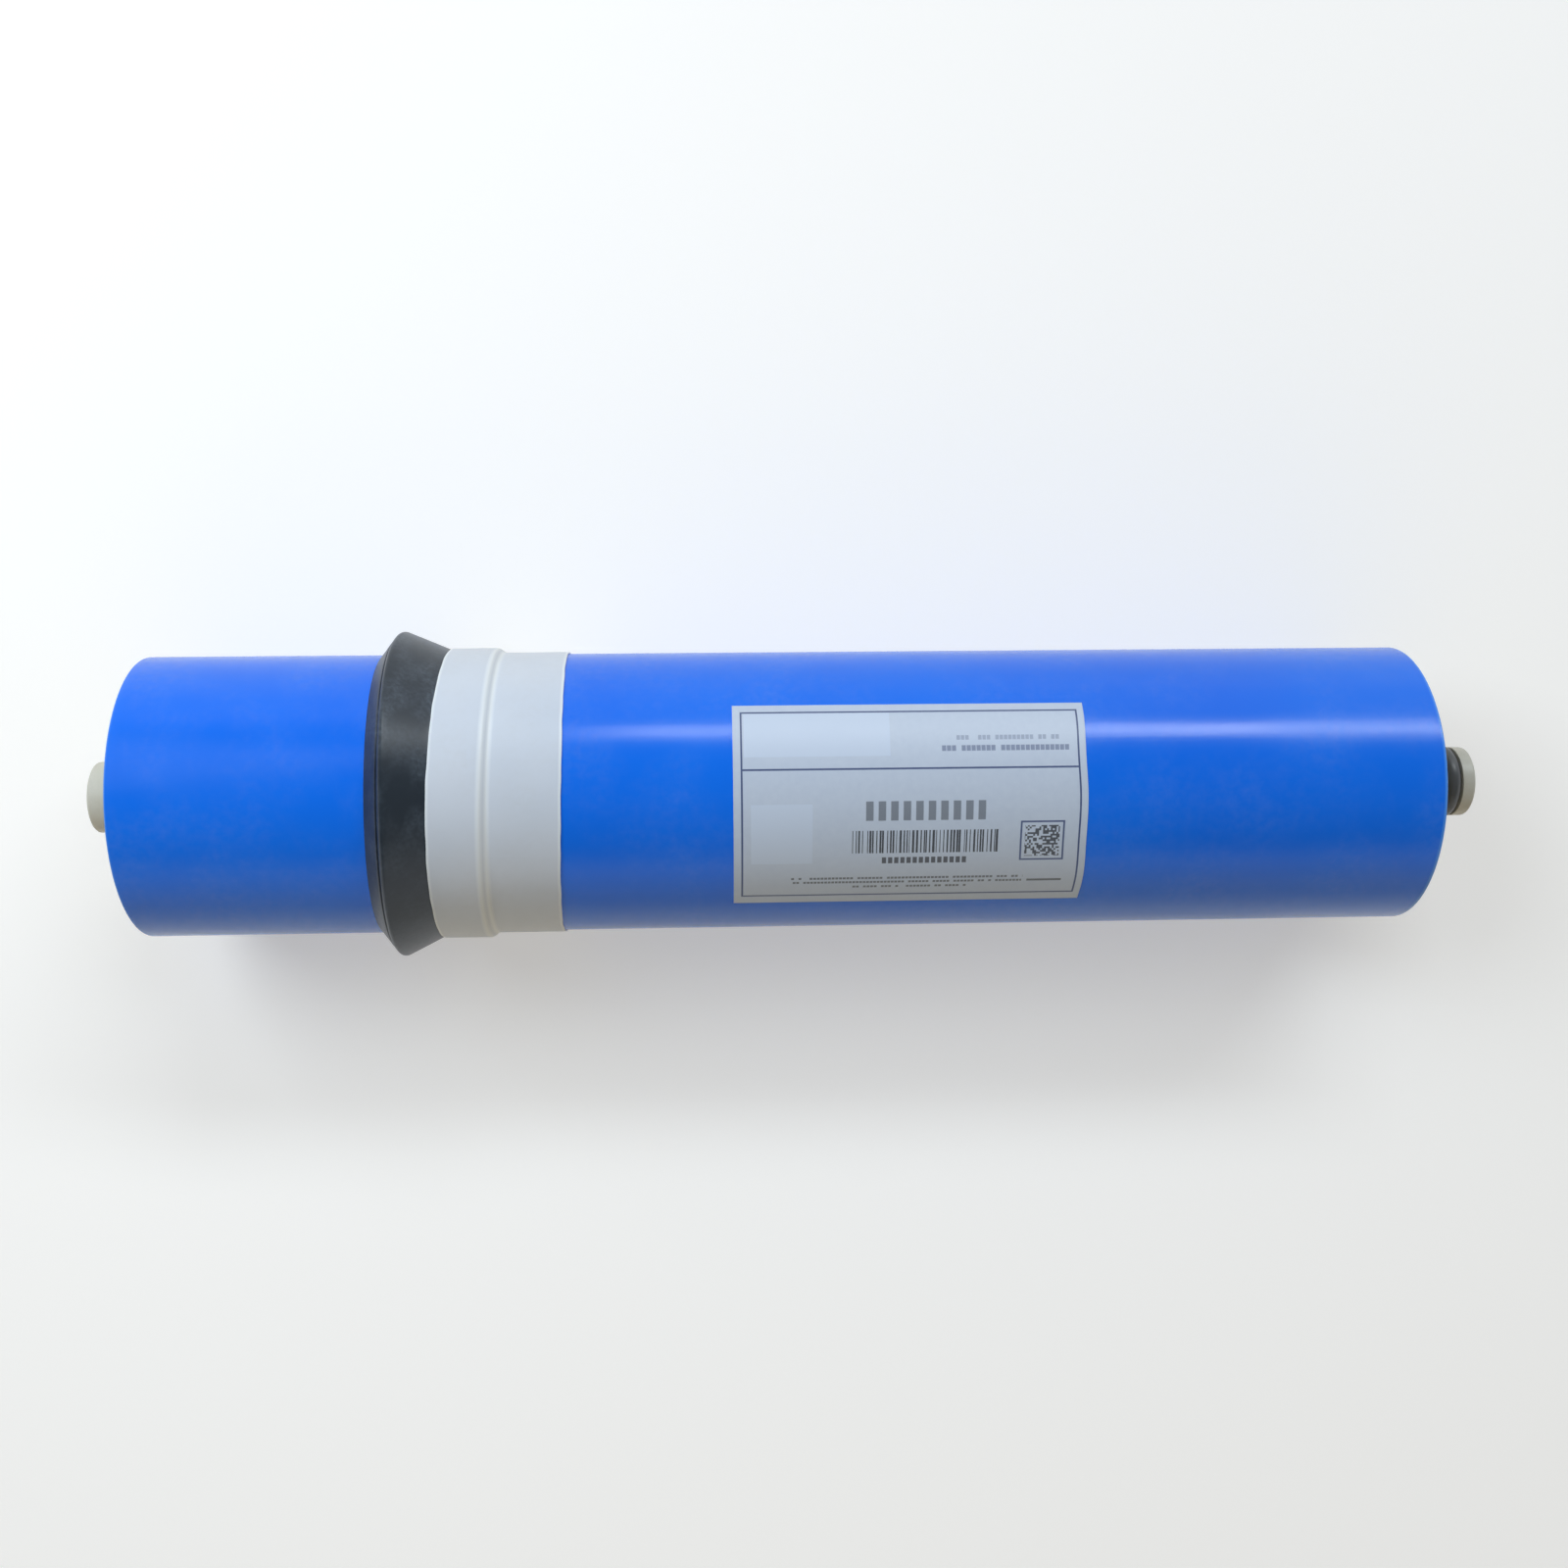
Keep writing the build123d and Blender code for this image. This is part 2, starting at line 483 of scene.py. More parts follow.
class Effects:
    """Effects that several finishes share, each built as a node group when first used."""

    @cached_property
    def grain(self) -> NodeTree:
        """Fine even grain: noise at one size, with a second one four times finer.

        Returns:
            The group, which puts out Height and Mask.
        """
        group = Group("grain", "Vector", "Scale", "Contrast")
        place, scale, contrast = group.given
        coarse = group.noise(place, scale, 3.0)
        fine = group.noise(place, scale * 4.1, 2.0)
        mask = group.math("MULTIPLY_ADD", coarse - 0.5, contrast, 0.5, clamp=True)
        return group.finish(Height=(coarse + fine * 0.5) / 1.5, Mask=mask)

    @cached_property
    def streaks(self) -> NodeTree:
        """Long faint lines along the tube: noise squeezed by a factor along X.

        Returns:
            The group, which puts out Height.
        """
        group = Group("streaks", "Vector", "Scale", "Squeeze")
        place, scale, squeeze = group.given
        along, across, up = group.parts(place)
        squeezed = group.value("CombineXYZ", {0: along * squeeze, 1: across, 2: up})
        return group.finish(Height=group.noise(squeezed, scale, 4.0))

    @cached_property
    def dust(self) -> NodeTree:
        """Patchy dust: broad noise times fine noise, each faded out below a threshold.

        Returns:
            The group, which puts out Mask.
        """
        group = Group("dust", "Vector", "Scale", "Amount")
        place, scale, amount = group.given
        patch = group.ramp(group.noise(place, scale, 5.0), 0.42, 0.68, 0.0, 1.0)
        speck = group.ramp(group.noise(place, scale * 9.0, 3.0), 0.35, 0.75, 0.2, 1.0)
        return group.finish(Mask=group.math("MULTIPLY", patch * speck, amount, clamp=True))

    @cached_property
    def turns(self) -> NodeTree:
        """Edges of thin wound turns: a wave over the distance from the tube's axis.

        Returns:
            The group, which puts out Height and Distance.
        """
        group = Group("turns", "Vector", "Pitch")
        place, pitch = group.given
        _, across, up = group.parts(place)
        up = up - AXIS_HEIGHT * MM
        distance = group.math("SQRT", across * across + up * up)
        return group.finish(Height=group.wave(distance / pitch), Distance=distance)

    @cached_property
    def weave(self) -> NodeTree:
        """Threads that cross: the greater of two slanted rows of waves, at one pitch.

        Returns:
            The group, which puts out Height.
        """
        group = Group("weave", "Vector", "Pitch")
        place, pitch = group.given
        along, across, up = group.parts(place)
        side = across + up
        rows = (group.wave(place / pitch) for place in (along + side, along - side))
        return group.finish(Height=next(rows) | next(rows))

    @cached_property
    def block(self) -> NodeTree:
        """Printed rectangle: 1 between left and right and between low and high.

        Returns:
            The group, which puts out Mask.
        """
        group = Group("printed block", "U", "V", "Left", "Right", "Low", "High")
        u, v, left, right, low, high = group.given
        return group.finish(Mask=(u > left) * (u < right) * ((v > low) * (v < high)))

    @cached_property
    def dashes(self) -> NodeTree:
        """Row of short dashes, one to a step, with random gaps.

        Returns:
            The group, which puts out Mask.
        """
        group = Group("printed dashes", "U", "Pitch", "Fill", "Row", "Gaps")
        u, pitch, fill, row, gaps = group.given
        step = u / pitch
        inked = group.chance(group.math("FLOOR", step), row) > gaps
        return group.finish(Mask=(group.math("FRACT", step) < fill) * inked)

    @cached_property
    def bars(self) -> NodeTree:
        """Upright bars, one to a step, with random widths and places in their steps.

        Returns:
            The group, which puts out Mask.
        """
        group = Group("printed bars", "U", "Pitch")
        u, pitch = group.given
        step = u / pitch
        cell, part = group.math("FLOOR", step), group.math("FRACT", step)
        width = group.math("MULTIPLY_ADD", group.chance(cell, 3.5), 0.5, 0.22)
        start = group.chance(cell, 8.5) * group.math("SUBTRACT", 1.0, width)
        return group.finish(Mask=(part > start) * (part < start + width))


class Coat(Tree):
    """A material's tree, with the place on the object."""

    def __init__(self, name: str) -> None:
        """Makes the material.

        Args:
            name: its name.
        """
        self.material = bpy.data.materials.new(name)
        self.material.use_nodes = True
        super().__init__(self.material.node_tree)
        self.place = self.value("TexCoord", output="Object")

    def spread(self, effect: NodeTree, **inputs: float) -> list[Value]:
        """Results of a shared effect at the place on the object."""
        return self.group(effect, Vector=self.place, **inputs)

    def shade(self, inputs: dict) -> Material:
        """Ends the tree with its shader.

        Args:
            inputs: what the shader is given, by name.

        Returns:
            The material.
        """
        shader = self.value("BsdfPrincipled", inputs)
        self.add("OutputMaterial", {0: shader})
        return self.material


# Finishes


@dataclass(frozen=True)
class Dust:
    """Dust on a finish: the scale of its patches, its amount and its tone."""

    scale: float
    amount: float
    tone: Tone


@dataclass(frozen=True)
class Finish:
    """A plain finish, and what every other one has.

    It has two tones that a grain mixes, the range of its roughness, which follows the
    grain's height, and perhaps dust. Its relief is a depth in millimetres.
    """

    name: str
    tone: Tone
    second_tone: Tone
    smooth: float
    rough: float
    grain: tuple[float, float] = (700.0, 2.0)
    gloss_range: tuple[float, float] = (0.3, 0.7)
    dust: Dust | None = None
    relief: float = 0.02
    specular: float = 0.5

    def blend(self, coat: Coat, effects: Effects) -> tuple[Value, Value, Value]:
        """Mixes the two tones by the grain, and lays the dust over them.

        Args:
            coat: the material's tree.
            effects: the shared effects.

        Returns:
            The colour, and the grain's height and mask.
        """
        scale, contrast = self.grain
        height, mask = coat.spread(effects.grain, Scale=scale, Contrast=contrast)
        tone = coat.colour(mask, self.tone, self.second_tone)
        if self.dust:
            amount = self.dust.amount
            (dusty,) = coat.spread(effects.dust, Scale=self.dust.scale, Amount=amount)
            tone = coat.colour(dusty, tone, self.dust.tone)
        return tone, height, mask

    def gloss(self, coat: Coat, height: Value) -> Value:
        """Roughness that follows a height."""
        return coat.ramp(height, *self.gloss_range, self.smooth, self.rough)

    def layers(self, coat: Coat, effects: Effects) -> tuple[Value, Value, Value]:
        """Works out what changes over the surface.

        Args:
            coat: the material's tree.
            effects: the shared effects.

        Returns:
            The colour, the roughness, and the relief's height.
        """
        tone, height, _ = self.blend(coat, effects)
        return tone, self.gloss(coat, height), height

    def build(self, effects: Effects) -> Material:
        """Makes the material.

        Args:
            effects: the shared effects.

        Returns:
            The material.
        """
        coat = Coat(self.name)
        coat.material.diffuse_color = (*self.tone, 1.0)
        tone, roughness, height = self.layers(coat, effects)
        bump = {"Height": height, "Strength": 1.0, "Distance": self.relief * MM}
        return coat.shade({
            "Base Color": tone,
            "Roughness": roughness,
            "Specular IOR Level": self.specular,
            "Normal": coat.value("Bump", bump),
        })


@dataclass(frozen=True)
class BlueFilm(Finish):
    """Satin-gloss plastic film with faint drawing lines, and a painted highlight along its cut
    edges.

    The edges of its turns show below its skin. Its roughness stays on one side of the
    value past which a denoiser takes a surface for a mirror.
    """

    grain: tuple[float, float] = (14.0, 2.4)
    gloss_range: tuple[float, float] = (0.35, 0.65)
    dust: Dust | None = Dust(55.0, 0.05, (0.55, 0.62, 0.75))
    relief: float = 0.03
    specular: float = 0.4
    skin: float = 0.3
    turn_pitch: float = 0.22
    turn_tone: Tone = (0.05, 0.28, 0.80)
    turn_dulling: float = 0.25
    painted_edge_highlight_width: tuple[float, float] = (0.5, 0.1)
    painted_edge_highlight_tone: Tone = (0.10, 0.36, 0.98)
    painted_edge_highlight_strength: float = 0.8

    def layers(self, coat: Coat, effects: Effects) -> tuple[Value, Value, Value]:
        """Adds a painted highlight along the cut edges at both ends, the turns and the drawing
        lines.

        Args:
            coat: the material's tree.
            effects: the shared effects.

        Returns:
            The colour, the roughness, and the relief's height.
        """
        tone, height, _ = self.blend(coat, effects)
        (lines,) = coat.spread(effects.streaks, Scale=900.0, Squeeze=0.02)
        turns, distance = coat.spread(effects.turns, Pitch=self.turn_pitch * MM)
        inside = distance < (FILM_RADIUS - self.skin) * MM
        along = coat.parts(coat.place)[0]
        # Painted highlight: the blue turns paler within half a millimetre of each end of the film.
        from_middle = abs(along - (BODY_LENGTH / 2 - ELEMENT_MIDDLE) * MM)
        limits = ((BODY_LENGTH / 2 - width) * MM for width in self.painted_edge_highlight_width)
        painted_edge_highlight = coat.ramp(from_middle, *limits, 0.0, self.painted_edge_highlight_strength)
        tone = coat.colour(painted_edge_highlight, tone, self.painted_edge_highlight_tone)
        tone = coat.colour(inside, tone, coat.colour(turns, self.tone, self.turn_tone))
        roughness = inside * self.turn_dulling + self.gloss(coat, height)
        soft = coat.noise(coat.place, 60.0, 2.0)
        return tone, roughness, soft + lines * 0.35 + turns * inside * 2.0


@dataclass(frozen=True)
class Rubber(Finish):
    """Moulded rubber with a fine grain, and pale patches that are part dust and part painted sheen,
    painted stronger on the side that faces the lamps.

    The painted sheen's side gives two places across the tube, in metres, and the patches' strength
    there.
    """

    grain: tuple[float, float] = (1400.0, 1.6)
    gloss_range: tuple[float, float] = (0.0, 1.0)
    specular: float = 0.45
    dust_and_sheen: float = 0.5
    painted_sheen_side: tuple[float, float, float, float] = (-0.02, 0.03, 0.7, 1.7)
    grain_dulling: float = 0.4

    def layers(self, coat: Coat, effects: Effects) -> tuple[Value, Value, Value]:
        """Mixes the tones by the patches of dust and painted sheen, which dull the rubber together
        with the grain.

        Args:
            coat: the material's tree.
            effects: the shared effects.

        Returns:
            The colour, the roughness, and the relief's height.
        """
        scale, contrast = self.grain
        height, mask = coat.spread(effects.grain, Scale=scale, Contrast=contrast)
        (dust,) = coat.spread(effects.dust, Scale=120.0, Amount=self.dust_and_sheen)
        (wisps,) = coat.spread(effects.streaks, Scale=160.0, Squeeze=1.7)
        # Part dust, part painted sheen: the pale patches are painted stronger on the +Y side, which
        # faces the lamps.
        dust_and_painted_sheen = dust * wisps * coat.ramp(coat.parts(coat.place)[1], *self.painted_sheen_side)
        tone = coat.colour(dust_and_painted_sheen, self.tone, self.second_tone)
        return tone, self.gloss(coat, dust_and_painted_sheen + mask * self.grain_dulling), height


@dataclass(frozen=True)
class WhiteTape(Finish):
    """Satin white tape with painted highlight lines along its two edges and at both ends of its
    ramp.

    Each painted highlight line is a place on the band's own map and half a width, in millimetres.
    """

    grain: tuple[float, float] = (45.0, 1.8)
    dust: Dust | None = Dust(70.0, 0.12, (0.47, 0.46, 0.44))
    painted_highlight_lines: tuple[tuple[float, float], ...] = (
        (70.4, 0.70),
        (82.0, 1.05),
        (83.4, 0.95),
        (99.8, 0.80),
    )
    painted_highlight_tone: Tone = (0.88, 0.94, 1.0)
    painted_highlight_strength: float = 0.9

    def layers(self, coat: Coat, effects: Effects) -> tuple[Value, Value, Value]:
        """Adds the painted highlight lines, each at full strength in its middle, and faint lines.

        Args:
            coat: the material's tree.
            effects: the shared effects.

        Returns:
            The colour, the roughness, and the relief's height.
        """
        tone, height, _ = self.blend(coat, effects)
        fine, _ = coat.spread(effects.grain, Scale=900.0, Contrast=1.0)
        (lines,) = coat.spread(effects.streaks, Scale=700.0, Squeeze=0.03)
        along = coat.parts(coat.value("UVMap", uv_map=MAP_NAME))[0] * MAP_LENGTH
        # Painted highlights: pale bluish-white lines at the tape's two edges and at both ends of
        # its ramp.
        painted_highlight_mask = 0.0
        for middle, half_width in self.painted_highlight_lines:
            painted_highlight_mask = coat.ramp(abs(along - middle), 0.0, half_width, 1.0, 0.0) | painted_highlight_mask
        tone = coat.colour(painted_highlight_mask * self.painted_highlight_strength, tone, self.painted_highlight_tone)
        return tone, self.gloss(coat, fine), lines * 0.5 + height


@dataclass(frozen=True)
class TubePlastic(Finish):
    """Moulded off-white plastic with faint flow marks and handling marks."""

    grain: tuple[float, float] = (130.0, 2.0)
    dust: Dust | None = Dust(260.0, 0.25, (0.36, 0.34, 0.29))
    relief: float = 0.01

    def layers(self, coat: Coat, effects: Effects) -> tuple[Value, Value, Value]:
        """Gives it a much finer relief than its marks.

        Args:
            coat: the material's tree.
            effects: the shared effects.

        Returns:
            The colour, the roughness, and the relief's height.
        """
        tone, height, _ = self.blend(coat, effects)
        fine, _ = coat.spread(effects.grain, Scale=2200.0, Contrast=1.0)
        return tone, self.gloss(coat, height), fine


@dataclass(frozen=True)
class Sheet(Finish):
    """Non-woven sheet or knitted cloth, seen mostly by its cut edge."""

    grain: tuple[float, float] = (1800.0, 2.5)
    dust: Dust | None = Dust(90.0, 0.35, (0.42, 0.36, 0.25))
    relief: float = 0.04
    thread_pitch: float = 0.5

    def layers(self, coat: Coat, effects: Effects) -> tuple[Value, Value, Value]:
        """Adds threads to the relief.

        Args:
            coat: the material's tree.
            effects: the shared effects.

        Returns:
            The colour, the roughness, and the relief's height.
        """
        tone, height, _ = self.blend(coat, effects)
        (threads,) = coat.spread(effects.weave, Pitch=self.thread_pitch * MM)
        return tone, self.gloss(coat, height), threads * 0.6 + height


@dataclass(frozen=True)
class PrintedLine:
    """One row of dashes: its box, their pitch and fill, its ink and the share of gaps."""

    box: Box
    pitch: float
    fill: float
    ink: float
    gaps: float = 0.12


@dataclass(frozen=True)
class Printer:
    """Plain shapes on the label, each given as a mask.

    A box is its left, right, low and high side, in millimetres from the label's lower
    left corner, and u and v are the place that is printed.
    """

    coat: Coat
    effects: Effects
    u: Value
    v: Value

    def block(self, box: Box, margin: float = 0.0) -> Value:
        """Mask of a box.

        Args:
            box: the box.
            margin: width that is left out along its sides.

        Returns:
            The mask.
        """
        left, right, low, high = box
        sides = {"Left": left + margin, "Right": right - margin}
        sides |= {"Low": low + margin, "High": high - margin}
        return self.coat.group(self.effects.block, U=self.u, V=self.v, **sides)[0]

    def frame(self, box: Box, width: float) -> Value:
        """Mask of a thin frame just inside a box."""
        return self.block(box) - self.block(box, width)

    def lines(self, lines: tuple[PrintedLine, ...], first_row: float) -> Value | float:
        """Mask of rows of dashes.

        Args:
            lines: the rows.
            first_row: number that fixes the first one's gaps. Each next one's is 1 more.

        Returns:
            The mask, as strong as each row's ink.
        """
        mask = 0.0
        for number, line in enumerate(lines):
            from_left = self.u - line.box[0]
            spacing = {"Pitch": line.pitch, "Fill": line.fill, "Gaps": line.gaps}
            row = first_row + number
            (dashes,) = self.coat.group(self.effects.dashes, U=from_left, Row=row, **spacing)
            mask = self.block(line.box) * dashes * line.ink | mask
        return mask

    def bars(self, box: Box, pitch: float) -> Value:
        """Mask of a box of upright bars of mixed widths."""
        (bars,) = self.coat.group(self.effects.bars, U=self.u - box[0], Pitch=pitch)
        return self.block(box) * bars

    def cells(self, box: Box, margin: float, pitch: float, gaps: float) -> Value:
        """Mask of random square cells.

        Args:
            box: the box that they fill.
            margin: width that stays bare along its sides.
            pitch: side of a cell.
            gaps: share of bare cells.

        Returns:
            The mask.
        """
        column, row = (self.coat.math("FLOOR", place / pitch) for place in (self.u, self.v))
        return self.block(box, margin) * (self.coat.chance(column, row) > gaps)


@dataclass(frozen=True)
class LabelPaper(Finish):
    """Coated label with a thin frame, pale fields, rows of dashes and plain bars."""

    grain: tuple[float, float] = (600.0, 1.3)
    relief: float = 0.03
    ink_blue: Tone = (0.045, 0.075, 0.21)
    ink_black: Tone = (0.03, 0.034, 0.045)
    field_tone: Tone = (0.62, 0.72, 0.90)
    field_ink: float = 0.9
    pale_fields: tuple[Box, ...] = ((2.5, 35.5, 37.1, 47.7), (3.9, 17.7, 12.2, 26.4))
    frame: Box = (1.7, 78.5, 2.4, 48.2)
    frame_line: float = 0.42
    frame_ink: float = 0.95
    divider: Box = (1.7, 78.5, 33.99, 34.41)
    heading_row: float = 0.5
    heading_lines: tuple[PrintedLine, ...] = (
        PrintedLine((49.6, 74.2, 40.7, 41.8), 0.98, 0.8, 0.42),
        PrintedLine((47.2, 76.3, 38.1, 39.4), 1.12, 0.84, 0.62),
    )
    small_row: float = 7.5
    small_lines: tuple[PrintedLine, ...] = (
        PrintedLine((13.0, 66.0, 7.6, 8.2), 0.84, 0.78, 0.75),
        PrintedLine((13.4, 65.8, 6.4, 7.0), 0.8, 0.78, 0.75),
        PrintedLine((27.1, 53.3, 5.0, 5.6), 0.82, 0.78, 0.75),
        PrintedLine((33.5, 53.1, 12.0, 13.6), 1.4, 0.7, 0.85, 0.0),
        PrintedLine((29.7, 57.7, 22.5, 26.9), 2.82, 0.6, 0.62, 0.0),
    )
    dash: Box = (67.0, 75.0, 6.4, 7.0)
    dash_ink: float = 0.8
    bars: Box = (26.5, 59.9, 14.7, 20.2)
    bar_pitch: float = 0.76
    bar_ink: float = 0.92
    square: Box = (64.8, 74.9, 12.4, 22.1)
    square_ink: float = 0.9
    cell_margin: float = 1.092
    cell_pitch: float = 0.44
    cell_gaps: float = 0.48
    cell_ink: float = 0.88

    def layers(self, coat: Coat, effects: Effects) -> tuple[Value, Value, Value]:
        """Prints on the paper, by places on the label's own map.

        Args:
            coat: the material's tree.
            effects: the shared effects.

        Returns:
            The colour, the roughness, and the relief's height.
        """
        tone, height, _ = self.blend(coat, effects)
        across, up, _ = coat.parts(coat.value("UVMap", uv_map=MAP_NAME))
        printer = Printer(coat, effects, across * LABEL_LENGTH, up * LABEL_HEIGHT)
        for box in self.pale_fields:
            tone = coat.colour(printer.block(box) * self.field_ink, tone, self.field_tone)
        outer = printer.frame(self.frame, self.frame_line) | printer.block(self.divider)
        blue = outer * self.frame_ink | printer.lines(self.heading_lines, self.heading_row)
        blue = blue | printer.frame(self.square, self.frame_line) * self.square_ink
        tone = coat.colour(blue, tone, self.ink_blue)
        cells = printer.cells(self.square, self.cell_margin, self.cell_pitch, self.cell_gaps)
        black = printer.bars(self.bars, self.bar_pitch) * self.bar_ink | cells * self.cell_ink
        black = black | printer.lines(self.small_lines, self.small_row)
        black = black | printer.block(self.dash) * self.dash_ink
        tone = coat.colour(black, tone, self.ink_black)
        soft = coat.noise(coat.place, 80.0, 2.0)
        return tone, self.gloss(coat, height), height * 0.15 + soft


# Sub-assemblies


@dataclass(frozen=True)
class Ripple:
    """Slight waves in a skin that is wound round the body."""

    depth: float = 0.045
    waves: int = 9
    lengths: tuple[float, float] = (35, 220)
    most_lobes: int = 5
    seed: int = 4

    def __call__(self, along: Array, angles: Array) -> Array:
        """Depth of the skin below its full radius.

        The depth is a sum of sines of the length and of whole numbers of turns, with
        random phases from a fixed seed, moved so that it never stands proud.

        Args:
            along: places along the tube.
            angles: angles round it.

        Returns:
            The depths.
        """
        draw = np.random.default_rng(self.seed)
        total = 0.0
        for _ in range(self.waves):
            length = draw.uniform(*self.lengths)
            lobes = draw.integers(0, self.most_lobes + 1)
            phase = draw.uniform(0, 2 * math.pi)
            total = total + np.sin(2 * math.pi * along / length + lobes * angles + phase)
        return self.depth * (1 - total / self.waves) / 2


@dataclass(frozen=True)
class Skew:
    """How far a ring round the body sits off its place along the tube.

    Each row is a place along the tube, and the shift there on the side, the top and the
    other side of the body.
    """

    rows: tuple[tuple[float, float, float, float], ...]

    def __call__(self, along: Array, angles: Array) -> Array:
        """Shift at each place and angle.

        Between the rows it goes straight, and round the body it is the square curve of the
        angle's cosine that passes through the three shifts.

        Args:
            along: places along the tube.
            angles: angles round it.

        Returns:
            The shifts.
        """
        table = np.array(self.rows)
        side, top, other = (np.interp(along, table[:, 0], table[:, n]) for n in (1, 2, 3))
        cosine = np.cos(angles)
        return top + (side - other) / 2 * cosine + ((side + other) / 2 - top) * cosine**2


@dataclass(frozen=True)
class Winding:
    """Spirals of the sheets between the tube and the film.

    A spiral is a row of arcs, whose centres are the corners of a small hexagon, so that
    each arc meets the next without a kink and sheets side by side stay parallel.
    """

    leaves: int = 3
    envelope: float = 0.62
    spacer: float = 0.72
    gap: float = 0.08
    core_wall: float = 0.75
    sectors: int = 29
    sectors_per_leaf: int = 2

    @property
    def pitch(self) -> float:
        """Height of one leaf's layer: an envelope, a spacer and their gaps."""
        return self.envelope + self.spacer + 2 * self.gap

    @property
    def spacer_height(self) -> float:
        """Height at which a spacer starts in its leaf's layer."""
        return self.envelope + self.gap

    @property
    def growth(self) -> float:
        """How far a spiral moves out in one sector."""
        return self.pitch / self.sectors_per_leaf

    @property
    def sectors_per_turn(self) -> int:
        """Sectors in a full turn."""
        return self.sectors_per_leaf * self.leaves

    @property
    def sector_angle(self) -> float:
        """Angle of a sector, in radians."""
        return 2 * math.pi / self.sectors_per_turn

    @property
    def first_radius(self) -> float:
        """Radius of a sheet's first arc."""
        return TUBE_RADIUS + SEAT_GAP + self.core_wall + self.gap + self.growth

    def arc_point(self, sector: Array, radius: Array, turn: Array) -> tuple[Array, Array]:
        """Point on a sector's arc: its centre, plus the radius in the turn's direction.

        Args:
            sector: whole numbers of the sectors.
            radius: radii of the arcs.
            turn: places along the winding, in sectors.

        Returns:
            Distances across and up from the axis.
        """
        corner_radius = self.growth / (2 * math.sin(math.pi / self.sectors_per_turn))
        corner = self.sector_angle * (sector + 0.5) + math.pi / 2
        angle = self.sector_angle * turn
        across = corner_radius * np.cos(corner) + radius * np.cos(angle)
        return across, corner_radius * np.sin(corner) + radius * np.sin(angle)

    def sheet_point(self, leaf: int, turn: Array, height: Array) -> tuple[Array, Array]:
        """Point of a wound sheet.

        Args:
            leaf: number of the leaf.
            turn: place along the sheet, in sectors from its start.
            height: height in the leaf's layer.

        Returns:
            Distances across and up from the axis.
        """
        first = leaf * self.sectors_per_leaf
        whole = np.clip(np.floor(turn), 0, self.sectors - 1)
        radius = self.first_radius + self.growth * whole + height
        return self.arc_point(first + whole, radius, first + turn)

    def arc_lengths(self) -> Array:
        """Distances along a sheet's middle to each sector's start, and to the end."""
        radii = self.first_radius + self.growth * np.arange(self.sectors) + self.pitch / 2
        return np.concatenate([[0.0], np.cumsum(radii * self.sector_angle)])


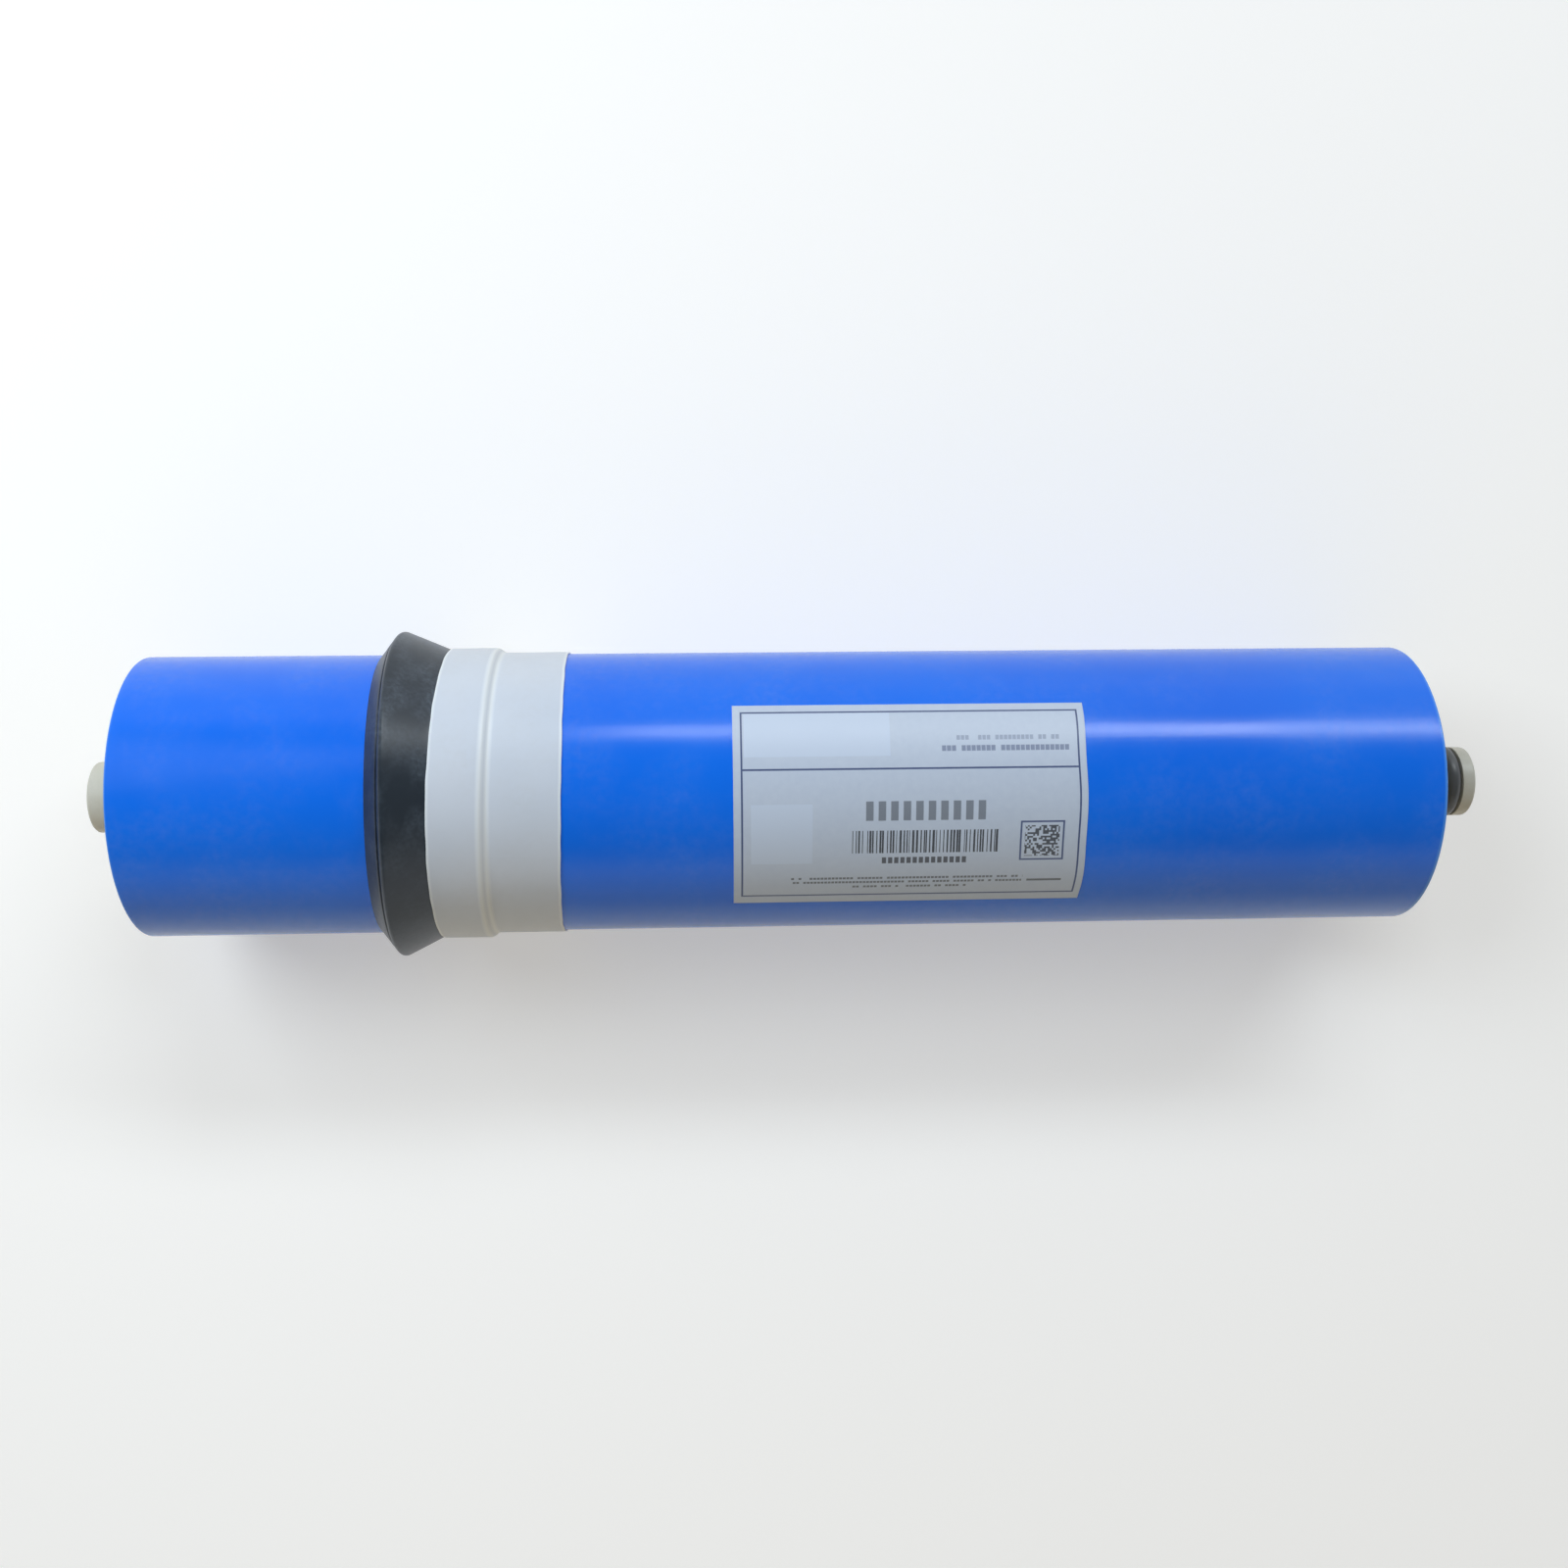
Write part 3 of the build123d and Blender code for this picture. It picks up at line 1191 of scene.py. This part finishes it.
@dataclass
class WoundSheets:
    """The three membrane envelopes and the three spacer nets between them.

    An envelope's edge is given from one face to near its middle, as (depth behind the
    edge, height), and a strand as its place from end to end and its share of its width.
    """

    winding: Winding
    envelope_recess: float = 1.0
    sheet_edge: tuple = ((0.10, 0.0), (0.0, 0.05), (0.0, 0.15), (0.24, 0.19))
    cloth_depth: float = 0.30
    steps_per_sector: int = 14
    trim_error: float = 0.14
    trim_waves: int = 8
    trim_rates: tuple[float, float] = (0.7, 9.0)
    net_depth: float = 3.4
    net_sharp_angle: float = 40.0
    strand_reach: float = 2.1
    strand_spacing: float = 3.4
    strand_margin: float = 4.0
    strand_sides: int = 6
    strand_shape: tuple = (
        (0.0, 0.0),
        (0.0, 0.82),
        (0.06, 1.0),
        (0.5, 1.0),
        (1.0, 1.0),
        (1.0, 0.0),
    )
    strand_slant: float = 1.08
    strand_flatness: float = 1.3
    strand_error: tuple[float, float] = (0.12, 0.3)
    envelope_seed: int = 11
    net_seed: int = 31
    outlet_seed: int = 50
    strand_seed: int = 100

    def _uneven(self, turn: Array, seed: int) -> Array:
        """How far a trimmed edge strays: a sum of sines of the place along the sheet.

        Args:
            turn: places along the sheet, in sectors.
            seed: number that fixes the sines.

        Returns:
            The distances.
        """
        draw = np.random.default_rng(seed)
        total = 0.0
        for _ in range(self.trim_waves):
            rate, phase = draw.uniform(*self.trim_rates), draw.uniform(0, 2 * math.pi)
            total = total + np.sin(turn * rate + phase)
        return self.trim_error * total / self.trim_waves

    def _swept(self, leaf: int, edge: Array, recess: float, seed: int) -> Array:
        """Grid of a sheet with a shaped edge, carried along its spiral.

        The outline runs up the feed end's edge and down the outlet end's, and each of its
        points is carried along the spiral at its own height.

        Args:
            leaf: number of the leaf.
            edge: rows of (depth behind the edge, height in the layer).
            recess: depth of the edge behind the end of the body.
            seed: number that fixes how the edge strays.

        Returns:
            The points, in rows along the spiral.
        """
        sectors = self.winding.sectors
        turn = np.linspace(0, sectors, sectors * self.steps_per_sector + 1)
        depth = recess + edge[:, :1]
        feed = depth + self._uneven(turn, seed)
        outlet = BODY_LENGTH - depth - self._uneven(turn, seed + self.outlet_seed)
        along = np.concatenate([feed, outlet[::-1]])
        height = np.concatenate([edge[:, 1:], edge[::-1, 1:]])
        return row_frame(along, *self.winding.sheet_point(leaf, turn, height))

    def envelope(self, leaf: int) -> Piece:
        """Makes one envelope: two sheets with the glued cloth set back between them.

        Args:
            leaf: number of the leaf.

        Returns:
            The new object.
        """
        thick = self.winding.envelope
        low = np.array(self.sheet_edge)
        high = low[::-1] * [1, -1] + [0, thick]
        edge = np.concatenate([low, [[self.cloth_depth, thick / 2]], high])
        grid = self._swept(leaf, edge, self.envelope_recess, self.envelope_seed + leaf)
        faces = shell_faces(grid, close_columns=False)
        return add_mesh(f"envelope_{leaf + 1}", grid, faces, recalculate=True)

    def _strands(self, leaf: int, end: End, layer: int) -> tuple[Array, Array]:
        """Ends of one layer of the net's strands.

        Each strand is a tube round a slanted line: its place along the sheet shifts by as
        much as its depth, one way in the lower layer and the other way in the upper one,
        and a circle round the line, which shrinks to a point at both ends, is its surface.

        Args:
            leaf: number of the leaf.
            end: which end of the body.
            layer: 0 for the lower layer and 1 for the upper one.

        Returns:
            The points and the quads.
        """
        winding, ring = self.winding, full_turn(self.strand_sides)
        lengths, radius = winding.arc_lengths(), winding.spacer / 4
        slant = 1 - 2 * layer
        shape = np.array(self.strand_shape)
        reach, swell = shape[:, :1] * self.strand_reach, shape[:, 1:] * radius
        last = lengths[-1] - self.strand_margin
        start = np.arange(self.strand_reach * 2, last, self.strand_spacing)
        seed = self.strand_seed + 10 * leaf + layer + (end is End.OUTLET) * 3
        draw = np.random.default_rng(seed)
        tip_error, place_error = self.strand_error
        tip = self.net_depth - self.strand_reach
        tip = tip + draw.uniform(-tip_error, tip_error, len(start))
        jitter = draw.uniform(-place_error, place_error, len(start)) * self.strand_spacing / 3
        travelled = (start + jitter)[:, None, None] + slant * reach
        travelled = travelled + np.cos(ring) * swell * self.strand_flatness
        turn = np.interp(travelled, lengths, np.arange(len(lengths)))
        height = winding.spacer_height + radius * (1 + 2 * layer) + np.sin(ring) * swell
        depth = tip[:, None, None] + reach * self.strand_slant
        along = depth if end is End.FEED else BODY_LENGTH - depth
        grid = row_frame(along, *winding.sheet_point(leaf, turn, height))
        one = grid_faces(*grid.shape[1:3], False, True)
        if (slant > 0) == (end is End.FEED):
            one = one[:, ::-1]
        first = np.arange(len(start))[:, None, None] * shape.shape[0] * self.strand_sides
        return grid.reshape(-1, 3), (one + first).reshape(-1, 4)

    def net(self, leaf: int) -> Piece:
        """Makes one spacer: a thin sheet deep in the body, with strands at both ends.

        Args:
            leaf: number of the leaf.

        Returns:
            The new object.
        """
        low = self.winding.spacer_height
        edge = np.array([(0.0, low), (0.0, low + self.winding.spacer)])
        points = self._swept(leaf, edge, self.net_depth, self.net_seed + leaf)
        faces = shell_faces(points, close_columns=False)
        points = points.reshape(-1, 3)
        for end in End:
            for layer in (0, 1):
                strands, quads = self._strands(leaf, end, layer)
                faces += (quads + len(points)).tolist()
                points = np.concatenate([points, strands])
        name = f"spacer_net_{leaf + 1}"
        return add_mesh(name, points, faces, self.net_sharp_angle, recalculate=True)

    def dress(self, paints: dict[str, Material]) -> None:
        """Builds the sheets and dresses them.

        Args:
            paints: the materials by their short names.
        """
        for leaf in range(self.winding.leaves):
            envelope_node, spacer_node = f"membrane_envelope_{leaf + 1}", f"feed_spacer_{leaf + 1}"
            envelope, net = self.envelope(leaf), self.net(leaf)
            place_piece(envelope, paints["membrane"], envelope_node)
            place_piece(net, paints["net"], spacer_node)


@dataclass
class OuterFilm:
    """Blue film round the sheets: waved outside, stepped inside."""

    winding: Winding
    ripple: Ripple
    edge_rounding: float = 0.28
    edge_steps: int = 6
    spans: int = 240
    steps_per_sector: int = 36
    cut: Skew = Skew(((BODY_LENGTH - 4.0, 0.0, 0.0, 0.0), (BODY_LENGTH, 0.15, 0.33, 0.40)))

    def radius_at(self, along: Array, angles: Array) -> Array:
        """Outer radius at a place: the full radius, less the ripple."""
        return FILM_RADIUS - self.ripple(along, angles)

    def build(self) -> Piece:
        """Makes the film.

        The inside is the row of arcs that the last turns of the sheets leave. The outside
        is the waved radius, lowered near both ends by a quarter circle. Both are carried
        over one row of angles, in which each sector's border is there twice for the steps,
        and the cut at the outlet end slants a little.

        Returns:
            The new object.
        """
        winding = self.winding
        last = winding.sectors - winding.sectors_per_leaf
        spread = np.linspace(0, 1, self.steps_per_sector + 1)
        sector = np.repeat(np.arange(winding.sectors_per_turn), len(spread))
        turn = sector + np.tile(spread, winding.sectors_per_turn)
        base = winding.first_radius + winding.growth * last + winding.pitch
        inner_radius = base + winding.growth * (sector % winding.sectors_per_leaf)
        across, up = winding.arc_point(last + sector, inner_radius, last + turn)
        angle = np.arctan2(up, across)
        corner = np.linspace(0, math.pi / 2, self.edge_steps)
        bend = self.edge_rounding * (1 - np.cos(corner))
        drop = self.edge_rounding * (1 - np.sin(corner))
        middle = np.linspace(self.edge_rounding, BODY_LENGTH - self.edge_rounding, self.spans)
        along = np.concatenate([bend, middle[1:-1], BODY_LENGTH - bend[::-1]])[:, None]
        lowered = np.concatenate([drop, np.zeros(self.spans - 2), drop[::-1]])[:, None]
        radius = self.radius_at(along, angle) - lowered
        outer = round_axis(along + self.cut(along, angle), radius, angle)
        ends = np.array([BODY_LENGTH, BODY_LENGTH / 2, 0.0])[:, None]
        inner = row_frame(ends + self.cut(ends, angle), across, up)
        grid = np.concatenate([outer, inner])
        return add_mesh("film_wrap", grid, shell_faces(grid))

    def dress(self, paints: dict[str, Material]) -> None:
        """Builds the film and dresses it."""
        place_piece(self.build(), paints["film"], "outer_film")


@dataclass
class CoreTube:
    """Core tube, closed at the feed end, with two O-ring grooves at the outlet end."""

    bore: float = 4.0
    closed_reach: float = 13.3
    outlet_reach: float = 19.2
    closed_wall: float = 6.0
    groove_width: float = 3.9
    tip_land: float = 3.1
    land_between: float = 2.0
    ring_section: float = 3.5
    ring_stand: float = 0.4
    ring_sides: int = 36
    parting_line: float = 0.03
    steps: int = 128

    @property
    def groove_floor(self) -> float:
        """Radius of a groove's floor."""
        return TUBE_RADIUS + self.ring_stand - self.ring_section - SEAT_GAP

    @property
    def tip(self) -> float:
        """Place of the tube's outlet end."""
        return BODY_LENGTH + self.outlet_reach

    def groove_middle(self, number: int) -> float:
        """Place of a groove's middle, counted from the outlet tip."""
        pitch = self.groove_width + self.land_between
        return self.tip - self.tip_land - self.groove_width / 2 - number * pitch

    def build_tube(self) -> Piece:
        """Makes the tube from one outline that starts and ends on the axis.

        Returns:
            The new object.
        """
        start = -self.closed_reach
        outline = [(start, 0.0, 0.0), (start, TUBE_RADIUS, 0.8)]
        for number in (1, 0):
            low = self.groove_middle(number) - self.groove_width / 2
            high = self.groove_middle(number) + self.groove_width / 2
            outline += [
                (low, TUBE_RADIUS, 0.15),
                (low, self.groove_floor, 0.2),
                (high, self.groove_floor, 0.2),
                (high, TUBE_RADIUS, 0.15),
            ]
        outline += [
            (self.tip, TUBE_RADIUS, 0.6),
            (self.tip, self.bore, 0.4),
            (start + self.closed_wall, self.bore, 0.5),
            (start + self.closed_wall, 0.0, 0.0),
        ]
        return add_turned("core_tube", rounded(outline, 5), self.steps, close_profile=False)

    def build_ring(self, name: str, number: int) -> Piece:
        """Makes an O-ring, a circle carried round the axis, with a fine parting line.

        Args:
            name: name of the piece.
            number: number of its groove, counted from the tip.

        Returns:
            The new object.
        """
        angles = full_turn(self.ring_sides)
        section = np.full(self.ring_sides, self.ring_section / 2)
        section[0] += self.parting_line
        centre_radius = self.groove_floor + SEAT_GAP + self.ring_section / 2
        along = self.groove_middle(number) + section * np.sin(angles)
        profile = np.stack([along, centre_radius + section * np.cos(angles)], axis=1)
        return add_turned(name, profile, self.steps)

    def dress(self, paints: dict[str, Material]) -> None:
        """Builds the tube and its O-rings and dresses them.

        Args:
            paints: the materials by their short names.
        """
        place_piece(self.build_tube(), paints["tube"], "permeate_tube")
        names = (("o_ring_at_tip", "o_ring_outer"), ("o_ring_at_body", "o_ring_inner"))
        for number, (name, node) in enumerate(names):
            ring = self.build_ring(name, number)
            place_piece(ring, paints["o_ring"], node)


@dataclass
class BrineSeal:
    """Rubber cup seal with its flared lip, pressed flat where the element lies on it."""

    start: float = 55.6
    front_length: float = 5.1
    back_length: float = 9.6
    rise: float = 5.75
    foot_thickness: float = 1.0
    foot_length: float = 11.6
    rim_depth: float = 1.0
    mouth: float = 0.6
    cup_depth: float = 6.4
    floor_height: float = 1.6
    bottom_width: float = 0.35
    cup_margins: tuple[float, float, float] = (0.25, 0.6, 0.3)
    bore_radius: float = FILM_RADIUS + SEAT_GAP
    rim_stray: float = 0.09
    rim_sway: float = 1.6
    rim_waves: tuple = ((2, 0.6, 1.0), (5, 2.1, 0.7), (9, 0.0, 0.4))
    longest_span: float = 1.2
    steps: int = 256
    sharp_angle: float = 45.0
    skew: Skew = Skew((
        (55.6, 0.0, 0.75, -0.6),
        (60.7, -0.6, 0.1, -1.0),
        (70.3, 1.1, -0.3, -1.4),
        (82.0, 0.6, -0.2, -1.7),
    ))

    @property
    def slope(self) -> float:
        """How far the lip's front flank goes along for each millimetre that it rises."""
        return self.front_length / self.rise

    @property
    def cup_floor(self) -> float:
        """Radius of the cup's floor."""
        return self.bore_radius + self.floor_height

    @property
    def foot_radius(self) -> float:
        """Outer radius of the foot."""
        return self.bore_radius + self.foot_thickness

    @property
    def band_start(self) -> float:
        """Place where the lip's back meets the band."""
        return self.start + self.front_length + self.back_length

    @property
    def foot_end(self) -> float:
        """Place where the foot ends."""
        return self.band_start + self.foot_length

    def outline(self) -> list[tuple[float, float, float]]:
        """Cross-section of the seal.

        Returns:
            Corners as (along, radius, rounding), from the front over the cup to the foot.
        """
        rim, rim_place = self.bore_radius + self.rise, self.start + self.front_length
        mouth_radius = rim - self.rim_depth
        mouth_place = rim_place - self.rim_depth * self.slope
        cup_end = mouth_place + self.cup_depth
        return [
            (self.start, self.bore_radius, 0.0),
            (mouth_place - self.mouth * self.slope, mouth_radius - self.mouth, 0.12),
            (cup_end, self.cup_floor, 0.1),
            (cup_end, self.cup_floor + self.bottom_width, 0.1),
            (mouth_place, mouth_radius, 0.15),
            (rim_place, rim, 0.7),
            (self.band_start - SEAT_GAP, self.foot_radius, 0.5),
            (self.foot_end, self.foot_radius, 0.2),
            (self.foot_end, self.bore_radius, 0.0),
        ]

    def in_cup(self, along: Array, radius: Array) -> Array:
        """Which points of the outline line the cup: those well between the lip's flanks.

        Args:
            along: places along the tube.
            radius: radii.

        Returns:
            True for each point in the cup.
        """
        front = self.start + (radius - self.bore_radius) * self.slope
        back_slope = self.back_length / (self.rise - self.foot_thickness)
        back = self.band_start - (radius - self.foot_radius) * back_slope
        behind, before, below = self.cup_margins
        inside = (along > front + behind) & (along < back - before)
        return inside & (radius > self.cup_floor - below)

    def build(self) -> Piece:
        """Makes the seal.

        The outline is carried round the axis. The lip's points stray a little with the
        angle, more the further out they are, and heights are held at the ground, and in
        the cup at the thickness of the pressed lip above it.

        Returns:
            The new object.
        """
        profile = divided(rounded(self.outline(), 5), self.longest_span)
        place, radius = profile[:, :1], profile[:, 1:]
        angles = full_turn(self.steps)
        outness = np.clip((radius - self.bore_radius) / self.rise, 0, 1) ** 2
        stray = outness * self.rim_stray
        along = place + stray * self.rim_sway * np.cos(3 * angles + 1.0)
        along = along + self.skew(place, angles)
        strayed = radius - stray * wavy(angles, *self.rim_waves)
        floor = np.where(self.in_cup(place, radius), SEAT_GAP - self.cup_floor, -AXIS_HEIGHT)
        up = np.maximum(strayed * np.sin(angles), floor)
        grid = row_frame(along, strayed * np.cos(angles), up)
        return add_mesh("seal_ring", grid, shell_faces(grid), self.sharp_angle)

    def dress(self, paints: dict[str, Material]) -> None:
        """Builds the seal and dresses it."""
        place_piece(self.build(), paints["seal"], "brine_seal")


@dataclass
class SealBand:
    """White tape over the seal's foot, with a ramp down to the blue film."""

    seal: BrineSeal
    ripple: Ripple
    width: float = 29.6
    thickness: float = 0.35
    ramp: float = 1.5
    ramp_swell: float = 0.06
    ripple_share: float = 0.4
    edge_stray: float = 0.16
    edge_fade: int = 14
    longest_span: float = 1.0
    steps: int = 224
    sharp_angle: float = 50.0
    end_skew: tuple[float, float, float, float] = (99.9, -0.45, -0.1, -2.0)

    def _drawn_in(self, share: Array, angles: Array) -> Array:
        """How far the cut edges stray inwards along the tube.

        It is a wave round the axis, times a high power of the distance from the band's
        middle, so that it fades within a few millimetres of each edge.

        Args:
            share: places across the band, from 0 to 1.
            angles: angles round the axis.

        Returns:
            The shifts.
        """
        wave = wavy(angles, (11, 3 * share, 1.0), (23, 1.7, 1.0), (37, 0.0, 0.5))
        near = np.abs(2 * share - 1) ** self.edge_fade * np.sign(0.5 - share)
        return near * self.edge_stray * wave

    def build(self) -> Piece:
        """Makes the band: its outline carried round the axis, then waved by the ripple.

        Returns:
            The new object.
        """
        start = self.seal.band_start
        end = start + self.width
        high, low = self.seal.foot_radius + SEAT_GAP, FILM_RADIUS + SEAT_GAP
        ramp_start = self.seal.foot_end + SEAT_GAP
        ramp_end = ramp_start + self.ramp
        outline = [
            (start, high, 0.0),
            (start, high + self.thickness, 0.16),
            (ramp_start, high + self.thickness + self.ramp_swell, 0.5),
            (ramp_end, low + self.thickness, 0.5),
            (end, low + self.thickness, 0.16),
            (end, low, 0.0),
            (ramp_end, low, 0.3),
            (ramp_start, high, 0.3),
        ]
        profile = divided(rounded(outline, 4), self.longest_span)
        place, radius = profile[:, :1], profile[:, 1:]
        angles = full_turn(self.steps)
        skew = Skew(self.seal.skew.rows[2:] + (self.end_skew,))
        along = place + skew(place, angles)
        along = along + self._drawn_in((place - start) / self.width, angles)
        radius = radius - self.ripple_share * self.ripple(along, angles)
        grid = round_axis(along, radius, angles)
        mapped = np.broadcast_arrays(place / MAP_LENGTH, angles / (2 * math.pi))
        uv = np.stack(mapped, axis=-1)
        return add_mesh("tape_band", grid, shell_faces(grid), self.sharp_angle, uv=uv)

    def dress(self, paints: dict[str, Material]) -> None:
        """Builds the band and dresses it."""
        place_piece(self.build(), paints["band"], "seal_band")


@dataclass
class Label:
    """Rectangular sticker that follows the film's waves."""

    film: OuterFilm
    start: float = 137.9
    thickness: float = 0.14
    turn: float = 8.4
    lift: float = 0.02
    edge_stray: float = 0.22
    edge_waves: tuple[float, float, float] = (5.3, 0.6, 11.0)
    columns: int = 120
    rows: int = 80

    def build(self) -> Piece:
        """Makes the label.

        Across its height, the outline runs over the upper side and back along the under
        side. It is carried along the length, at the film's radius plus the sheet's own,
        and its end strays by a product of two sines of the height.

        Returns:
            The new object.
        """
        share = np.linspace(0, 1, self.rows)
        share = np.concatenate([share, share[::-1]])[:, None]
        lift = self.lift + np.repeat([self.thickness, 0.0], self.rows)[:, None]
        spread = LABEL_HEIGHT / FILM_RADIUS
        angle = math.pi / 2 + math.radians(self.turn) + spread * (0.5 - share)
        length = np.linspace(0, 1, self.columns)
        slow, phase, fast = self.edge_waves
        stray = self.edge_stray * np.sin(slow * share + phase) * np.sin(fast * share)
        along = self.start + (LABEL_LENGTH + stray) * length
        grid = round_axis(along, self.film.radius_at(along, angle) + lift, angle)
        uv = np.stack(np.broadcast_arrays(length, share), axis=-1)
        faces = shell_faces(grid, close_columns=False)
        return add_mesh("label_sheet", grid, faces, recalculate=True, uv=uv)

    def dress(self, paints: dict[str, Material]) -> None:
        """Builds the label and dresses it."""
        place_piece(self.build(), paints["label"], "label")


# Studio


@dataclass(frozen=True)
class Lamp:
    """Soft rectangular lamp that faces a place on the element's axis.

    Lengths are metres, and its power is watts. Only a mirrored lamp leaves a highlight.
    """

    name: str
    place: tuple[float, float, float]
    size: tuple[float, float]
    power: float
    tint: Tone
    mirrored: bool = False
    aim_along: float = 0.0

    def hang(self) -> None:
        """Adds the lamp to the scene."""
        data = bpy.data.lights.new(self.name, "AREA")
        data.shape = "RECTANGLE"
        data.size, data.size_y = self.size
        data.energy = self.power
        data.color = self.tint
        aim = Vector((self.aim_along, 0.0, AXIS_HEIGHT * MM)) - Vector(self.place)
        lamp = add_object(self.name, data)
        lamp.location = self.place
        lamp.rotation_euler = aim.to_track_quat("-Z", "Y").to_euler()
        lamp.visible_glossy = self.mirrored


@dataclass
class Studio:
    """Pale floor, soft lamps and the camera at the photograph's viewing angle."""

    camera_place: tuple[float, float, float] = (-0.02076, 0.0, 0.42160)
    camera_turn: tuple[float, float, float] = (0.0038, -0.0477, -0.0120)
    camera_range: tuple[float, float] = (0.01, 20.0)
    lens: float = 36.22
    sensor: float = 36.0
    lamps: tuple[Lamp, ...] = (
        Lamp("strip", (0.48, 1.10, 1.09), (1.25, 0.25), 10.8, (0.89, 0.96, 1.0), True, 0.30),
        Lamp("soft", (-0.42, 0.27, 0.54), (0.4, 0.4), 2.5, (0.89, 0.96, 1.0)),
        Lamp("fill", (0.0, -0.90, 0.50), (0.6, 0.6), 1.0, (1.0, 0.72, 0.26)),
    )
    floor_seen: Tone = (0.72, 0.72, 0.72)
    floor_glow: tuple[float, float] = (0.38, 0.96)
    floor_fade: tuple[float, float] = (0.4, 1.7)
    floor_bounce: Tone = (0.82, 0.68, 0.47)
    floor_size: float = 16.0
    world_light: float = 0.15
    ambient: Tone = (0.99, 0.97, 0.92)
    wall_height: tuple[float, float] = (0.40, 0.62)

    def add_camera(self) -> None:
        """Adds the camera."""
        data = bpy.data.cameras.new("camera")
        data.lens = self.lens
        data.sensor_width = self.sensor
        data.clip_start, data.clip_end = self.camera_range
        camera = add_object("camera", data)
        camera.location = self.camera_place
        camera.rotation_euler = Euler(self.camera_turn)
        bpy.context.scene.camera = camera

    def add_floor(self) -> None:
        """Adds the floor, which is white to the eye and throws back a warmer light.

        Its glow rises with the distance from the element, as the lamps' light on it fades.
        """
        half = self.floor_size / 2
        mesh = bpy.data.meshes.new("floor")
        corners = [(-half, -half, 0), (half, -half, 0), (half, half, 0), (-half, half, 0)]
        mesh.from_pydata(corners, [], [(0, 1, 2, 3)])
        floor = add_object("floor", mesh)
        coat = Coat("floor")
        seen = self.seen_share(coat)
        distance = coat.value("VectorMath", {0: coat.place}, "Value", operation="LENGTH")
        cover(floor, coat.shade({
            "Base Color": coat.colour(seen, self.floor_bounce, self.floor_seen),
            "Roughness": 0.9,
            "Specular IOR Level": 0.1,
            "Emission Color": (*WHITE, 1.0),
            "Emission Strength": seen * coat.ramp(distance, *self.floor_fade, *self.floor_glow),
        }))

    @staticmethod
    def seen_share(tree: Tree) -> Value:
        """Marks the rays that show the studio itself: seen, mirrored or through a clear thing.

        Args:
            tree: the tree in which the mark is used.

        Returns:
            1 for these rays, and 0 for all others.
        """
        rays = ("Is Camera Ray", "Is Glossy Ray", "Is Transmission Ray")
        direct, mirrored, clear = (tree.value("LightPath", output=ray) for ray in rays)
        return direct | mirrored | clear

    def set_world(self) -> None:
        """Lights the scene evenly, and shows white walls under a dim ceiling.

        The eye sees white all round. Mirrored and transmitted rays see it from the floor up
        to the height of the walls, given by the ray's upward part.
        """
        world = bpy.data.worlds.new("studio")
        world.use_nodes = True
        tree = Tree(world.node_tree)
        upward = tree.parts(tree.value("TexCoord", output="Generated"))[2]
        wall = tree.ramp(upward, *self.wall_height, 1.0, 0.0)
        direct = tree.value("LightPath", output="Is Camera Ray")
        shown = self.seen_share(tree) * (wall | direct)
        strength = shown * (1.0 - self.world_light) + self.world_light
        tone = tree.colour(shown, self.ambient, WHITE)
        background = tree.value("Background", {"Color": tone, "Strength": strength})
        tree.add("OutputWorld", {0: background})
        bpy.context.scene.world = world

    def build(self) -> None:
        """Adds everything that is not the element."""
        bpy.context.scene.view_settings.view_transform = "Standard"
        self.add_camera()
        for lamp in self.lamps:
            lamp.hang()
        self.add_floor()
        self.set_world()


def make_paints() -> dict[str, Material]:
    """Builds every finish once.

    Returns:
        The materials by their short names.
    """
    finishes = {
        "film": BlueFilm("blue film", (0.001, 0.158, 0.93), (0.002, 0.187, 0.98), 0.19, 0.27),
        # The rubbers' second tones are the pale bluish tone of their dust and painted sheen.
        "seal": Rubber("seal rubber", (0.018, 0.028, 0.042), (0.17, 0.215, 0.28), 0.30, 0.5),
        "o_ring": Rubber(
            "o-ring rubber",
            (0.095, 0.105, 0.116),
            (0.18, 0.195, 0.21),
            0.3,
            0.48,
            relief=0.006,
            dust_and_sheen=0.4,
        ),
        "band": WhiteTape("white tape", (0.62, 0.69, 0.81), (0.68, 0.74, 0.85), 0.3, 0.46),
        "label": LabelPaper("label paper", (0.545, 0.63, 0.79), (0.595, 0.68, 0.83), 0.34, 0.5),
        "tube": TubePlastic("tube plastic", (0.63, 0.63, 0.57), (0.70, 0.70, 0.64), 0.3, 0.45),
        "membrane": Sheet("membrane sheet", (0.66, 0.62, 0.53), (0.76, 0.73, 0.66), 0.6, 0.85),
        "cloth": Sheet("carrier cloth", (0.68, 0.67, 0.62), (0.8, 0.79, 0.75), 0.7, 0.9),
        "net": Finish("net plastic", (0.20, 0.22, 0.23), (0.34, 0.37, 0.38), 0.35, 0.55),
    }
    effects = Effects()
    return {name: finish.build(effects) for name, finish in finishes.items()}


def main() -> None:
    """Builds the element's looks and the studio, in order."""
    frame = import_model()
    paints = make_paints()
    winding, ripple = Winding(), Ripple()
    film, seal = OuterFilm(winding, ripple), BrineSeal()
    cover(frame["nodes"]["core_carrier"], paints["cloth"])
    for part in (CoreTube(), WoundSheets(winding), film, seal, SealBand(seal, ripple), Label(film)):
        LOG.info("%s", type(part).__name__)
        part.dress(paints)
    Studio().build()


if __name__ == "__main__":
    logging.basicConfig(level=logging.INFO, format="%(name)s: %(message)s")
    main()
